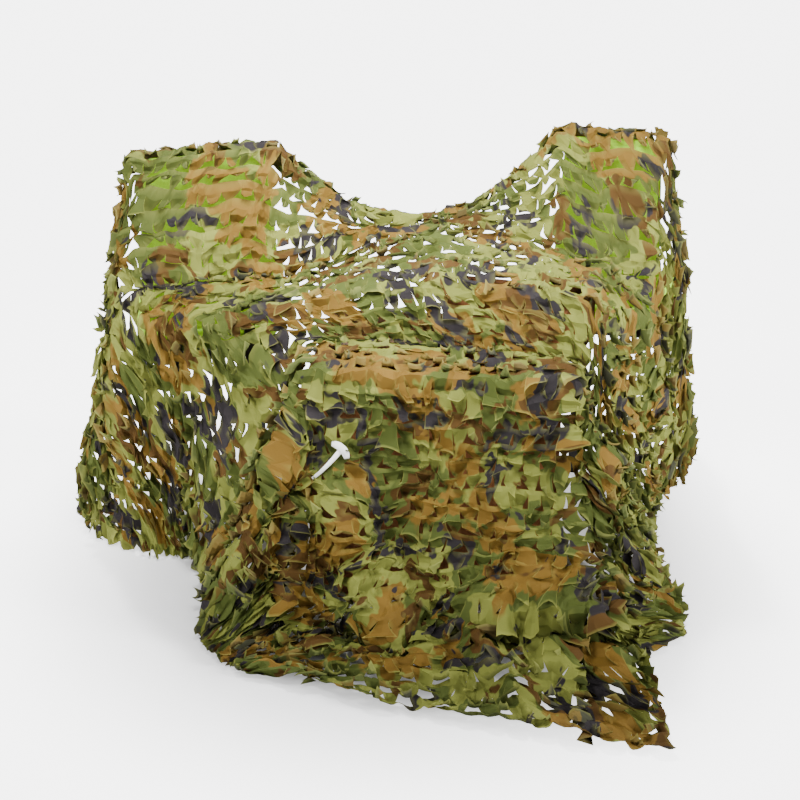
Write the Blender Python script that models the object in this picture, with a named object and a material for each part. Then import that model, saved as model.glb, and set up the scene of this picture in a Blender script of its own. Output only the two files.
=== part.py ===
"""A leaf-cut camouflage net draped over two plain chairs and two stacked cartons.

Units are metres and +Z is up. The origin is on the floor under the front edge of the
large carton, X runs to the right and Y runs from the front of the net to its back.
The net is one sheet. It is lofted through eleven sections, each of which runs from the
left hem on the floor, up and over what the net lies on, to the right hem on the floor.
Columns of cells run along its length, hem to hem, and rows run from its back to its front.
"""

import math
from collections import namedtuple

import bmesh
import bpy
from mathutils import Matrix, Vector
from mathutils.bvhtree import BVHTree

# ---------------------------------------------------------------- driving sizes
SHEET = 0.003            # thickness of the net's cloth as a solid
REST_GAP = 0.0003        # gap between pieces that touch
COLUMNS = 36             # cells across the net, hem to hem

CHAIR_TOP = 0.882        # underside of the net on the chair backs
CARTON_TOP = 0.530       # underside of the net on the large carton
BOX_TOP = 0.664          # underside of the net on the small carton's front edge

BACK_THICK = 0.028       # chair back pad
BACK_BOTTOM = 0.47
BACK_CORNER_STEPS = 4
BACK_FLARE = 0.04        # how much wider the pad is at the bottom
BACK_CORNER = 0.030
TUBE = 0.025             # square tube of the chair frame
POST_TOP = 0.79
LEG_INSET = 0.01         # from the side of the seat to the board and the front legs under it
POST_INSET = 0.045       # from the side of the back pad to the outside of a rear leg
PROUD = 0.0006           # a leg stands this proud of the seat board
SEAT_WIDTH = 0.34
SEAT_DEPTH = 0.33
SEAT_TOP = 0.455
SEAT_THICK = 0.045
SEAT_CORNER = 0.05
SEAT_BEHIND_POST = 0.001 # clearance between the seat and the rear posts

CARTON_WIDTH = 0.530
CARTON_DEPTH = 0.400
CARTON_TURN = math.radians(-6.0)
CARTON_CORNER = Vector((-0.175, 0.010, 0.0))    # front left corner
BOX_WIDTH = 0.300
BOX_DEPTH = 0.150
BOX_TURN = math.radians(-19.0)
BOX_CORNER = Vector((0.118, 0.199, 0.0))        # front left corner
SCAN = 60                # steps each way when a height is read off the net
SCAN_FROM = 0.09         # how far above the large carton the upward scan starts

TIE_LENGTH = 0.100
TIE_WIDTH = 0.009
TIE_TIP = 0.0035
TIE_THICK = 0.0015
TIE_HEAD = 0.022         # length of the wide head
TIE_NECK = 0.028         # where the head has narrowed to the tail
TIE_LEAN = math.radians(-44.0)
TIE_PLACE = (14.2, 20.0)                        # column and row of its head

Chair = namedtuple("Chair", "name outer inner back_width")
CHAIRS = (
    Chair("chair_left", (-0.568, 0.410), (-0.262, 0.480), 0.290),
    Chair("chair_right", (0.638, 0.580), (0.408, 0.630), 0.225),
)

# Each section runs across the net. Feet are (x, y, z), crests are (x, y, z). "marks" are
# the columns at which the four crest points lie, and "rows" is the number of rows of
# cells to the next section. A creased section lies on an edge.
Section = namedtuple(
    "Section",
    "name rows crease left_foot left_outer left_inner middle_z right_inner right_outer right_foot "
    "marks",
)
BACK = (10, 14, 23, 26)
FACE = (9, 14, 23, 27)
BOX = (10, 19, 22, 25)
CARTON = (12, 16, 20, 24)
TOP = CHAIR_TOP
LID = CARTON_TOP
SECTIONS = (
    Section("back hem", 1, False, (-0.770, 0.500, 0.0), (-0.582, 0.446, 0.825), (-0.268, 0.518, 0.825),
            0.668, (0.404, 0.668, 0.825), (0.654, 0.614, 0.825), (0.800, 0.760, 0.0), BACK),
    Section("chair top rear", 1, True, (-0.762, 0.460, 0.0), (-0.578, 0.431, TOP), (-0.264, 0.503, TOP),
            0.694, (0.409, 0.653, TOP), (0.650, 0.600, TOP), (0.795, 0.715, 0.0), BACK),
    Section("chair top front", 5, True, (-0.742, 0.375, 0.0), (-0.568, 0.387, TOP), (-0.254, 0.459, TOP),
            0.694, (0.398, 0.610, TOP), (0.639, 0.557, TOP), (0.768, 0.650, 0.0), BACK),
    Section("chair face", 5, False, (-0.620, 0.228, 0.0), (-0.605, 0.325, 0.600), (-0.230, 0.400, 0.600),
            0.674, (0.380, 0.480, 0.640), (0.600, 0.420, 0.570), (0.665, 0.480, 0.0), FACE),
    Section("box edge", 2, True, (-0.450, 0.180, 0.0), (-0.400, 0.220, 0.560), (0.105, 0.200, BOX_TOP),
            BOX_TOP, (0.270, 0.144, BOX_TOP), (0.418, 0.092, BOX_TOP), (0.610, 0.310, 0.0), BOX),
    Section("box foot", 3, True, (-0.412, 0.020, 0.0), (-0.172, 0.168, LID), (-0.020, 0.168, LID),
            LID, (0.240, 0.110, LID), (0.384, 0.070, LID), (0.600, 0.160, 0.0), CARTON),
    Section("front edge", 5, True, (-0.388, -0.160, 0.0), (-0.183, 0.004, LID), (-0.001, -0.015, LID),
            LID, (0.181, -0.034, LID), (0.363, -0.053, LID), (0.625, -0.030, 0.0), CARTON),
    Section("front middle", 5, False, (-0.382, -0.200, 0.0), (-0.200, -0.020, 0.290), (-0.020, -0.050, 0.290),
            0.290, (0.190, -0.075, 0.290), (0.392, -0.090, 0.290), (0.628, -0.080, 0.0), CARTON),
    Section("front foot", 2, False, (-0.372, -0.235, 0.0), (-0.225, -0.120, 0.045), (-0.050, -0.150, 0.045),
            0.058, (0.180, -0.205, 0.060), (0.420, -0.225, 0.065), (0.625, -0.150, 0.0), CARTON),
    Section("tuck", 6, True, (-0.345, -0.270, 0.0), (-0.205, -0.190, 0.0), (-0.045, -0.170, 0.0),
            0.0, (0.170, -0.120, 0.0), (0.390, -0.135, 0.0), (0.535, -0.255, 0.0), CARTON),
    Section("train hem", 0, True, (-0.290, -0.300, 0.0), (-0.160, -0.345, 0.0), (-0.045, -0.420, 0.0),
            0.0, (0.180, -0.482, 0.0), (0.360, -0.543, 0.0), (0.528, -0.578, 0.0), CARTON),
)

# A fold is a soft ridge along a line from start to end, both (column, row). Width is in
# cells and height in metres, out of the net's face.
Fold = namedtuple("Fold", "name start end width height")
FOLDS = (
    Fold("long sweep", (13.5, 21.0), (19.0, 32.0), 1.3, 0.034),
    Fold("second sweep", (11.6, 22.5), (13.6, 31.0), 1.1, 0.026),
    Fold("left wing crease", (3.0, 6.0), (9.5, 9.0), 1.2, 0.030),
    Fold("left wing pleat", (0.8, 3.6), (8.0, 3.6), 1.1, 0.022),
    Fold("left corner roll", (5.0, 13.0), (10.5, 20.0), 1.4, 0.026),
    Fold("right corner roll", (29.0, 15.0), (26.0, 23.0), 1.4, 0.030),
    Fold("right wing crease", (28.0, 9.0), (34.5, 6.0), 1.3, 0.028),
    Fold("right wing pleat", (28.0, 3.4), (35.0, 3.8), 1.1, 0.022),
    Fold("train ridge", (21.0, 31.5), (33.0, 31.0), 1.0, 0.020),
)
RIPPLE = 0.011           # height of the smaller unevenness on the falls
RIPPLE_ROWS = 4.3        # rows from one ripple to the next
RIPPLE_MEAN = 0.75       # the three shares of a ripple's height: mean, down a fall, aslant
RIPPLE_DOWN = 0.60
RIPPLE_SLANT = 0.35
FLARE = 1.45             # how steeply a fall hangs before it spreads to its foot
FOLD_FADE = 0.15         # share of a fold's length over which each of its ends fades

# How far, in cells, the net takes to come free of what holds it.
FREE_OF_FLOOR = 2.5
FREE_OF_CREST = 1.6
FREE_OF_BACK = (2.0, 3.5)        # rows, behind the sag
FREE_OF_BOX = (2.2, 3.6)         # rows before the small carton's edge
FREE_OF_FRONT = 3.0

# A leaf gap is wider where its leaf joins and narrower at the tip, all in cells.
JOIN_WIDER = 0.10
TIP_NARROWER = 0.22
JOIN_LONGER = 0.16
TIP_LONGER = 0.14


# ---------------------------------------------------------------- the drape
def mix(a, b, share):
    return a + (b - a) * share


def fall(foot, crest, share):
    """A hanging edge of the net: steep under the crest, spreading towards the foot."""
    spread = (1.0 - share) ** FLARE
    level = mix(foot.z, crest.z, share)
    return Vector((mix(crest.x, foot.x, spread), mix(crest.y, foot.y, spread), level))


def across(section, column):
    """The point of one section at a column, which need not be whole."""
    left = (section.left_foot, section.left_outer, section.left_inner)
    right = (section.right_inner, section.right_outer, section.right_foot)
    left_foot, left_outer, left_inner = map(Vector, left)
    right_inner, right_outer, right_foot = map(Vector, right)
    outer_left, inner_left, inner_right, outer_right = section.marks
    if column <= outer_left:
        return fall(left_foot, left_outer, column / outer_left)
    if column <= inner_left:
        return mix(left_outer, left_inner, (column - outer_left) / (inner_left - outer_left))
    if column >= outer_right:
        return fall(right_foot, right_outer, (COLUMNS - column) / (COLUMNS - outer_right))
    if column >= inner_right:
        return mix(right_inner, right_outer, (column - inner_right) / (outer_right - inner_right))
    share = (column - inner_left) / (inner_right - inner_left)
    point = mix(left_inner, right_inner, share)
    point.z += (section.middle_z - (left_inner.z + right_inner.z) / 2) * 4 * share * (1 - share)
    return point


SECTION_ROWS = [sum(section.rows for section in SECTIONS[:index]) for index in range(len(SECTIONS))]
START = dict(zip((section.name for section in SECTIONS), SECTION_ROWS))
ROWS = SECTION_ROWS[-1]


def slope(points, rows, index, crease, side):
    """The tangent at a section: one-sided on a crease, and nowhere past a neighbour's level."""
    before = None if index == 0 else (points[index] - points[index - 1]) / (rows[index] - rows[index - 1])
    last = index == len(points) - 1
    after = None if last else (points[index + 1] - points[index]) / (rows[index + 1] - rows[index])
    if before is None or (crease and side > 0 and after is not None):
        return after
    if after is None or crease:
        return before
    return Vector([2 * a * b / (a + b) if a * b > 0.0 else 0.0 for a, b in zip(before, after)])


def base(column, row):
    """The net's underside before folds, by cubic steps from section to section."""
    row = min(max(row, 0.0), float(ROWS))
    index = max(i for i, start in enumerate(SECTION_ROWS[:-1]) if start <= row)
    window = range(max(index - 1, 0), min(index + 3, len(SECTIONS)))
    points = [across(SECTIONS[i], column) for i in window]
    rows = [SECTION_ROWS[i] for i in window]
    here = index - window[0]
    span = rows[here + 1] - rows[here]
    share = (row - rows[here]) / span
    start = slope(points, rows, here, SECTIONS[index].crease, 1) * span
    end = slope(points, rows, here + 1, SECTIONS[index + 1].crease, -1) * span
    square, cube = share * share, share * share * share
    return (points[here] * (2 * cube - 3 * square + 1) + start * (cube - 2 * square + share)
            + points[here + 1] * (3 * square - 2 * cube) + end * (cube - square))


def facing(column, row):
    """The direction out of the net's face."""
    step = 0.25
    right = base(min(column + step, COLUMNS), row) - base(max(column - step, 0), row)
    front = base(column, min(row + step, ROWS)) - base(column, max(row - step, 0))
    return front.cross(right).normalized()


def smooth(low, high, value):
    share = min(max((value - low) / (high - low), 0.0), 1.0)
    return share * share * (3 - 2 * share)


def crest_marks(row):
    """The columns of the outer crest points at a row."""
    index = max(i for i, start in enumerate(SECTION_ROWS[:-1]) if start <= min(row, ROWS - 0.001))
    share = (row - SECTION_ROWS[index]) / SECTIONS[index].rows
    left = mix(SECTIONS[index].marks[0], SECTIONS[index + 1].marks[0], share)
    right = mix(SECTIONS[index].marks[-1], SECTIONS[index + 1].marks[-1], share)
    return left, right


def freedom(column, row):
    """Nought where the net lies on something or meets the floor, one where it hangs free."""
    left, right = crest_marks(row)
    if column < left:
        return smooth(0.0, FREE_OF_FLOOR, column) * smooth(0.0, FREE_OF_CREST, left - column)
    if column > right:
        return smooth(0.0, FREE_OF_FLOOR, COLUMNS - column) * smooth(0.0, FREE_OF_CREST, column - right)
    if row <= START["front edge"]:
        return smooth(*FREE_OF_BACK, row) * smooth(*FREE_OF_BOX, START["box edge"] - row)
    return smooth(0.0, FREE_OF_FRONT, row - START["front edge"])


def fold_height(column, row):
    height = 0.0
    for fold in FOLDS:
        run = Vector(fold.end) - Vector(fold.start)
        offset = Vector((column, row)) - Vector(fold.start)
        along = offset.dot(run) / run.length_squared
        if -FOLD_FADE < along < 1.0 + FOLD_FADE:
            aside = (offset - run * along).length / fold.width
            ends = smooth(-FOLD_FADE, FOLD_FADE, along) * smooth(-FOLD_FADE, FOLD_FADE, 1.0 - along)
            height += fold.height * ends * math.exp(-aside * aside)
    return height


def ripple(column, row):
    """The smaller unevenness: pleats that run down each fall, never inwards by much."""
    left, right = crest_marks(row)
    down = max(left - column, column - right, 0.0)
    wave = math.sin(2 * math.pi * row / RIPPLE_ROWS + 0.35 * down + (1.1 if column > right else 0.0))
    cross_wave = math.sin(0.9 * column + 0.37 * row)
    return RIPPLE * (RIPPLE_MEAN + RIPPLE_DOWN * wave + RIPPLE_SLANT * cross_wave)


def underside(column, row):
    point = base(column, row)
    free = freedom(column, row)
    if free > 0.0:
        point += facing(column, row) * free * (fold_height(column, row) + ripple(column, row))
    point.z = max(point.z, 0.0)
    return point


# ---------------------------------------------------------------- the leaf gaps
EDGE_ROWS = {SECTION_ROWS[i] for i, section in enumerate(SECTIONS) if section.crease}


def is_gap(column, row):
    """Leaf gaps stand in every second row of cells, staggered by one column, inside the hem."""
    inside = 1 <= column < COLUMNS - 1 and 2 <= row < ROWS - 1
    return inside and row % 2 == 0 and (column + row // 2) % 2 == 0


def gap_shift(column, row):
    """Moves a gap's corners, so that it is wide where its leaf joins and narrow at the leaf's tip."""
    top = row % 2 == 0
    cell_row = row if top else row - 1
    left = (column + cell_row // 2) % 2 == 0
    sideways = JOIN_WIDER if top else -TIP_NARROWER
    sideways = -sideways if left else sideways
    endways = -JOIN_LONGER if top else TIP_LONGER
    if column in (0, COLUMNS) or column in CARTON or row <= START["chair top front"]:
        sideways = 0.0
    if row in EDGE_ROWS or row in (0, ROWS):
        endways = 0.0
    return sideways, endways


# ---------------------------------------------------------------- building helpers
def material(name, colour, roughness, metallic=0.0):
    made = bpy.data.materials.new(name)
    made.use_nodes = True
    shader = made.node_tree.nodes["Principled BSDF"]
    shader.inputs["Base Color"].default_value = (*colour, 1.0)
    shader.inputs["Roughness"].default_value = roughness
    shader.inputs["Metallic"].default_value = metallic
    return made


def add_object(name, mesh, finish):
    piece = bpy.data.objects.new(name, mesh)
    bpy.context.scene.collection.objects.link(piece)
    mesh.materials.append(finish)
    return piece


def mesh_from(name, points, faces):
    mesh = bpy.data.meshes.new(name)
    mesh.from_pydata([tuple(point) for point in points], [], faces)
    mesh.update()
    return mesh


def prism(name, outline, low, high):
    """An upright prism on a counter-clockwise outline of (x, y) points."""
    count = len(outline)
    points = [(x, y, low) for x, y in outline] + [(x, y, high) for x, y in outline]
    faces = [tuple(reversed(range(count))), tuple(range(count, 2 * count))]
    faces += [(i, (i + 1) % count, count + (i + 1) % count, count + i) for i in range(count)]
    return mesh_from(name, points, faces)


def box_points(x_low, x_high, y_low, y_high):
    return [(x_low, y_low), (x_high, y_low), (x_high, y_high), (x_low, y_high)]


def rounded(width, depth, radius, steps=3):
    """A rounded rectangle about the origin, counter-clockwise."""
    points = []
    for corner in range(4):
        middle = Vector((width / 2 - radius, depth / 2 - radius))
        middle.x *= 1 if corner in (0, 3) else -1
        middle.y *= 1 if corner in (0, 1) else -1
        for step in range(steps + 1):
            angle = math.pi / 2 * (corner + step / steps)
            points.append((middle.x + radius * math.cos(angle), middle.y + radius * math.sin(angle)))
    return points


# ---------------------------------------------------------------- the net
def build_net(finish):
    """The whole net as one solid: its face, its underside, its hem and the walls of its gaps."""
    under, over = {}, {}
    for column in range(COLUMNS + 1):
        for row in range(ROWS + 1):
            sideways, endways = gap_shift(column, row)
            under[column, row] = underside(column + sideways, row + endways)
    for column in range(COLUMNS + 1):
        for row in range(ROWS + 1):
            right = under[min(column + 1, COLUMNS), row] - under[max(column - 1, 0), row]
            front = under[column, min(row + 1, ROWS)] - under[column, max(row - 1, 0)]
            outward = front.cross(right).normalized()
            raised = under[column, row] + outward * SHEET
            raised.z = max(raised.z, 0.0)
            over[column, row] = raised
    mesh = bpy.data.meshes.new("net")
    work = bmesh.new()
    low = {key: work.verts.new(point) for key, point in under.items()}
    high = {key: work.verts.new(point) for key, point in over.items()}
    cells = [(c, r) for c in range(COLUMNS) for r in range(ROWS) if not is_gap(c, r)]
    solid = set(cells)
    for column, row in cells:
        corners = [(column, row), (column, row + 1), (column + 1, row + 1), (column + 1, row)]
        work.faces.new([high[key] for key in corners])
        work.faces.new([low[key] for key in reversed(corners)])
        sides = (((column, row - 1), 3, 0), ((column - 1, row), 0, 1),
                 ((column, row + 1), 1, 2), ((column + 1, row), 2, 3))
        for neighbour, start, end in sides:
            if neighbour not in solid:
                a, b = corners[start], corners[end]
                work.faces.new([high[b], high[a], low[a], low[b]])
    bmesh.ops.delete(work, geom=[v for v in work.verts if not v.link_faces], context="VERTS")
    bmesh.ops.triangulate(work, faces=work.faces[:])
    work.to_mesh(mesh)
    work.free()
    return add_object("net", mesh, finish)


# ---------------------------------------------------------------- the chairs
def back_outline(width):
    """The chair back, seen from its front: a pad with round top corners, wider below."""
    top, half = CHAIR_TOP - REST_GAP, width / 2
    points = [(-half - BACK_FLARE / 2, BACK_BOTTOM), (half + BACK_FLARE / 2, BACK_BOTTOM)]
    for side in (1, -1):
        for step in range(BACK_CORNER_STEPS + 1):
            turned = step / BACK_CORNER_STEPS
            angle = math.pi / 2 * (turned if side > 0 else 1 - turned)
            points.append((side * (half - BACK_CORNER + BACK_CORNER * math.cos(angle)),
                           top - BACK_CORNER + BACK_CORNER * math.sin(angle)))
    return points


def build_back(name, width, finish):
    outline = back_outline(width)
    count = len(outline)
    half = BACK_THICK / 2
    points = [(x, -half, z) for x, z in outline] + [(x, half, z) for x, z in outline]
    faces = [tuple(range(count)), tuple(reversed(range(count, 2 * count)))]
    faces += [((i + 1) % count, i, count + i, count + (i + 1) % count) for i in range(count)]
    return add_object(name, mesh_from(name, points, faces), finish)


def build_frame(name, width, finish):
    """Two tall rear legs that carry the back, two front legs, and a board under the seat."""
    rear = BACK_THICK / 2 + REST_GAP
    front = rear + TUBE + SEAT_DEPTH
    half = SEAT_WIDTH / 2 - LEG_INSET
    board_top = SEAT_TOP - SEAT_THICK - REST_GAP
    board = add_object(name, prism(name, box_points(-half, half, rear + PROUD, front - PROUD),
                                   board_top - TUBE, board_top), finish)
    post = width / 2 - POST_INSET
    legs = [(-post, rear, POST_TOP), (post - TUBE, rear, POST_TOP),
            (-half - PROUD, front - TUBE, board_top - TUBE / 2),
            (half + PROUD - TUBE, front - TUBE, board_top - TUBE / 2)]
    for index, (x, y, top) in enumerate(legs):
        leg = add_object(f"{name}_leg_{index}",
                         prism(f"{name}_leg", box_points(x, x + TUBE, y, y + TUBE), 0.0, top), finish)
        leg.hide_render = True
        leg.display_type = "WIRE"
        leg.parent = board
        union = board.modifiers.new(f"leg {index}", "BOOLEAN")
        union.operation = "UNION"
        union.solver = "EXACT"
        union.object = leg
    return board


def build_seat(name, finish):
    middle = BACK_THICK / 2 + 2 * REST_GAP + TUBE + SEAT_BEHIND_POST + SEAT_DEPTH / 2
    outline = [(x, y + middle) for x, y in rounded(SEAT_WIDTH, SEAT_DEPTH, SEAT_CORNER)]
    return add_object(name, prism(name, outline, SEAT_TOP - SEAT_THICK, SEAT_TOP), finish)


def build_chair(chair, lime, black):
    """The chair stands with its back to the front, and the net hangs over that back."""
    left, right = sorted((Vector(chair.outer), Vector(chair.inner)), key=lambda point: point.x)
    run = right - left
    stand = bpy.data.objects.new(chair.name, None)
    bpy.context.scene.collection.objects.link(stand)
    stand.location = ((left.x + right.x) / 2, (left.y + right.y) / 2, 0.0)
    stand.rotation_euler = (0.0, 0.0, math.atan2(run.y, run.x))
    pieces = (build_back(f"{chair.name}_back", chair.back_width, lime),
              build_seat(f"{chair.name}_seat", lime),
              build_frame(f"{chair.name}_frame", chair.back_width, black))
    for piece in pieces:
        piece.parent = stand


# ---------------------------------------------------------------- the cartons
def build_carton(name, corner, turn, width, depth, low, high, finish):
    carton = add_object(name, prism(name, box_points(0.0, width, 0.0, depth), low, high), finish)
    carton.location = corner
    carton.rotation_euler = (0.0, 0.0, turn)
    return carton


def surface(piece):
    """A piece's faces, ready for rays."""
    mesh = piece.data
    return BVHTree.FromPolygons([v.co for v in mesh.vertices], [f.vertices[:] for f in mesh.polygons])


def lowest_over(net, corner, turn, width, depth, above):
    """The lowest point of the net over a turned rectangle, looking up from a height."""
    tree = surface(net)
    turned = Matrix.Rotation(turn, 3, "Z")
    heights = []
    for step in range(SCAN + 1):
        for step_back in range(SCAN + 1):
            foot = corner + turned @ Vector((width * step / SCAN, depth * step_back / SCAN, 0.0))
            hit = tree.ray_cast(Vector((foot.x, foot.y, above)), Vector((0, 0, 1)))[0]
            if hit:
                heights.append(hit.z)
    return min(heights)


# ---------------------------------------------------------------- the tie
def build_tie(net, finish):
    """A short white tie on the net: a blunt looped head and a thin tail that hangs free."""
    head = underside(*TIE_PLACE)
    outward = facing(*TIE_PLACE)
    level = Vector((0, 0, 1)).cross(outward).normalized()
    upward = outward.cross(level).normalized()
    turn = Matrix.Rotation(TIE_LEAN, 3, outward)
    down, aside = turn @ -upward, turn @ level
    sides = ((0.0, TIE_WIDTH), (TIE_HEAD, TIE_WIDTH), (TIE_NECK, TIE_WIDTH / 2), (TIE_LENGTH, TIE_TIP / 2))
    outline = [*sides, *((run, -half) for run, half in reversed(sides))]
    tree = surface(net)
    reach = []
    for (start, start_half), (end, end_half) in zip(sides, sides[1:]):
        for step in range(SCAN + 1):
            share = step / SCAN
            for side in (-1.0, -0.5, 0.0, 0.5, 1.0):
                half = mix(start_half, end_half, share)
                spot = head + down * mix(start, end, share) + aside * (half * side)
                hit = tree.ray_cast(spot + outward * TIE_LENGTH, -outward)[0]
                if hit:
                    reach.append((mix(start, end, share), (hit - head).dot(outward)))
    near = max(height for run, height in reach if run <= TIE_NECK)
    lean_out = max((height - near) / run for run, height in reach if run > TIE_NECK)
    points = [head + down * run + aside * side + outward * (near + lean_out * run + 2 * REST_GAP + lift)
              for lift in (0.0, TIE_THICK) for run, side in outline]
    count = len(outline)
    faces = [tuple(range(count)), tuple(reversed(range(count, 2 * count)))]
    faces += [((i + 1) % count, i, count + i, count + (i + 1) % count) for i in range(count)]
    return add_object("tie", mesh_from("tie", points, faces), finish)


# ---------------------------------------------------------------- the whole part
def build():
    for piece in list(bpy.data.objects):
        bpy.data.objects.remove(piece, do_unlink=True)
    leaf_green = material("leaf_green_cloth", (0.18, 0.22, 0.07), 0.75)
    lime = material("lime_mesh", (0.42, 0.60, 0.04), 0.6)
    black = material("black_frame", (0.02, 0.02, 0.022), 0.4, 0.6)
    kraft = material("kraft_card", (0.50, 0.27, 0.13), 0.85)
    white = material("white_tape", (0.85, 0.85, 0.82), 0.5)
    net = build_net(leaf_green)
    for chair in CHAIRS:
        build_chair(chair, lime, black)
    carton_top = CARTON_TOP - REST_GAP
    build_carton("carton_large", CARTON_CORNER, CARTON_TURN, CARTON_WIDTH, CARTON_DEPTH,
                 0.0, carton_top, kraft)
    scanned = lowest_over(net, BOX_CORNER, BOX_TURN, BOX_WIDTH, BOX_DEPTH, carton_top + SCAN_FROM)
    box_top = scanned - 2 * REST_GAP
    build_carton("carton_small", BOX_CORNER, BOX_TURN, BOX_WIDTH, BOX_DEPTH,
                 carton_top + REST_GAP, box_top, kraft)
    build_tie(net, white)


build()
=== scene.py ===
"""Looks of a leaf-cut camouflage net draped over two plain chairs and two stacked cartons.

Metres, +Z up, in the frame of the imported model. The net is one thin sheet: a fine mesh on the
same drape as its solid, pierced by U-shaped cuts, each with its leaf bent out of the cut.
"""

import math
import random
from collections import namedtuple

import bmesh
import bpy
import numpy as np
from mathutils import Matrix, Vector, noise
from mathutils.geometry import delaunay_2d_cdt


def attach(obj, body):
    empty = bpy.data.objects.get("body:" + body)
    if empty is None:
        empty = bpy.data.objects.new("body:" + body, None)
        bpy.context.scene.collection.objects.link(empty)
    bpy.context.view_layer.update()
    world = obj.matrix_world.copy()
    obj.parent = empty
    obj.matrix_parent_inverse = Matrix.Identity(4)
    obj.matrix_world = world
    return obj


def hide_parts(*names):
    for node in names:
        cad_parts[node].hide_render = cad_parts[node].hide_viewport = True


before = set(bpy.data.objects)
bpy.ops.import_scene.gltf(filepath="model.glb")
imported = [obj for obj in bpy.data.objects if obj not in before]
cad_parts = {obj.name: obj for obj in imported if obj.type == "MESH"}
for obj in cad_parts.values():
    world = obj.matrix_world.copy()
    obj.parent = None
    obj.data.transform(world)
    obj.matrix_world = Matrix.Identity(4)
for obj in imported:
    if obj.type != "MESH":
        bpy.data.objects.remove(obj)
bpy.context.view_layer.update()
random.seed(11)
noise.seed_set(11)       # else noise_vector takes its offset from the clock

# ---------------------------------------------------------------- sizes of the drape
SHEET = 0.003            # thickness of the net's solid
COLUMNS = 36             # cells across the net's solid, hem to hem
CHAIR_TOP = 0.882        # underside of the net on the chair backs
CARTON_TOP = 0.530       # underside of the net on the large carton
BOX_TOP = 0.664          # underside of the net on the small carton's front edge

# Each section runs across the net, as in the solid. Feet and crests are (x, y, z). "marks" are
# the columns of the four crest points, "rows" the rows of cells to the next section.
Section = namedtuple(
    "Section",
    "name rows crease left_foot left_outer left_inner middle_z right_inner right_outer right_foot "
    "marks",
)
BACK = (10, 14, 23, 26)
FACE = (9, 14, 23, 27)
BOX = (10, 19, 22, 25)
CARTON = (12, 16, 20, 24)
TOP = CHAIR_TOP
LID = CARTON_TOP
SECTIONS = (
    Section("back hem", 1, False, (-0.770, 0.500, 0.0), (-0.582, 0.446, 0.825), (-0.268, 0.518, 0.825),
            0.668, (0.404, 0.668, 0.825), (0.654, 0.614, 0.825), (0.800, 0.760, 0.0), BACK),
    Section("chair top rear", 1, True, (-0.762, 0.460, 0.0), (-0.578, 0.431, TOP), (-0.264, 0.503, TOP),
            0.694, (0.409, 0.653, TOP), (0.650, 0.600, TOP), (0.795, 0.715, 0.0), BACK),
    Section("chair top front", 5, True, (-0.742, 0.375, 0.0), (-0.568, 0.387, TOP), (-0.254, 0.459, TOP),
            0.694, (0.398, 0.610, TOP), (0.639, 0.557, TOP), (0.768, 0.650, 0.0), BACK),
    Section("chair face", 5, False, (-0.620, 0.228, 0.0), (-0.605, 0.325, 0.600), (-0.230, 0.400, 0.600),
            0.674, (0.380, 0.480, 0.640), (0.600, 0.420, 0.570), (0.665, 0.480, 0.0), FACE),
    Section("box edge", 2, True, (-0.450, 0.180, 0.0), (-0.400, 0.220, 0.560), (0.105, 0.200, BOX_TOP),
            BOX_TOP, (0.270, 0.144, BOX_TOP), (0.418, 0.092, BOX_TOP), (0.610, 0.310, 0.0), BOX),
    Section("box foot", 3, True, (-0.412, 0.020, 0.0), (-0.172, 0.168, LID), (-0.020, 0.168, LID),
            LID, (0.240, 0.110, LID), (0.384, 0.070, LID), (0.600, 0.160, 0.0), CARTON),
    Section("front edge", 5, True, (-0.388, -0.160, 0.0), (-0.183, 0.004, LID), (-0.001, -0.015, LID),
            LID, (0.181, -0.034, LID), (0.363, -0.053, LID), (0.625, -0.030, 0.0), CARTON),
    Section("front middle", 5, False, (-0.382, -0.200, 0.0), (-0.200, -0.020, 0.290), (-0.020, -0.050, 0.290),
            0.290, (0.190, -0.075, 0.290), (0.392, -0.090, 0.290), (0.628, -0.080, 0.0), CARTON),
    Section("front foot", 2, False, (-0.372, -0.235, 0.0), (-0.225, -0.120, 0.045), (-0.050, -0.150, 0.045),
            0.058, (0.180, -0.205, 0.060), (0.420, -0.225, 0.065), (0.625, -0.150, 0.0), CARTON),
    Section("tuck", 6, True, (-0.345, -0.270, 0.0), (-0.205, -0.190, 0.0), (-0.045, -0.170, 0.0),
            0.0, (0.170, -0.120, 0.0), (0.390, -0.135, 0.0), (0.535, -0.255, 0.0), CARTON),
    Section("train hem", 0, True, (-0.290, -0.300, 0.0), (-0.160, -0.345, 0.0), (-0.045, -0.420, 0.0),
            0.0, (0.180, -0.482, 0.0), (0.360, -0.543, 0.0), (0.528, -0.578, 0.0), CARTON),
)

# A fold is a soft ridge along a line from start to end, both (column, row). Width is in
# cells and height in metres, out of the net's face; a height below nought is a trough.
Fold = namedtuple("Fold", "name start end width height")
FOLDS = (
    Fold("long sweep", (13.5, 21.0), (19.0, 32.0), 1.3, 0.034),
    Fold("second sweep", (11.6, 22.5), (13.6, 31.0), 1.1, 0.026),
    Fold("left wing crease", (3.0, 6.0), (9.5, 9.0), 1.2, 0.030),
    Fold("left wing pleat", (0.8, 3.6), (8.0, 3.6), 1.1, 0.022),
    Fold("left corner roll", (5.0, 13.0), (10.5, 20.0), 1.4, 0.026),
    Fold("right corner roll", (29.0, 15.0), (26.0, 23.0), 1.4, 0.030),
    Fold("right wing crease", (28.0, 9.0), (34.5, 6.0), 1.3, 0.028),
    Fold("right wing pleat", (28.0, 3.4), (35.0, 3.8), 1.1, 0.022),
    Fold("train ridge", (21.0, 31.5), (33.0, 31.0), 1.0, 0.020),
)
RIPPLE = 0.011           # height of the pleats that run down each fall
RIPPLE_ROWS = 4.3        # from one pleat to the next
RIPPLE_MEAN = 0.75       # shares of that height: all over, in pleats, and on the slant
RIPPLE_DOWN = 0.60
RIPPLE_SLANT = 0.35
RIPPLE_LAG = 0.35        # how far a pleat lags behind with each column down the fall
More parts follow.
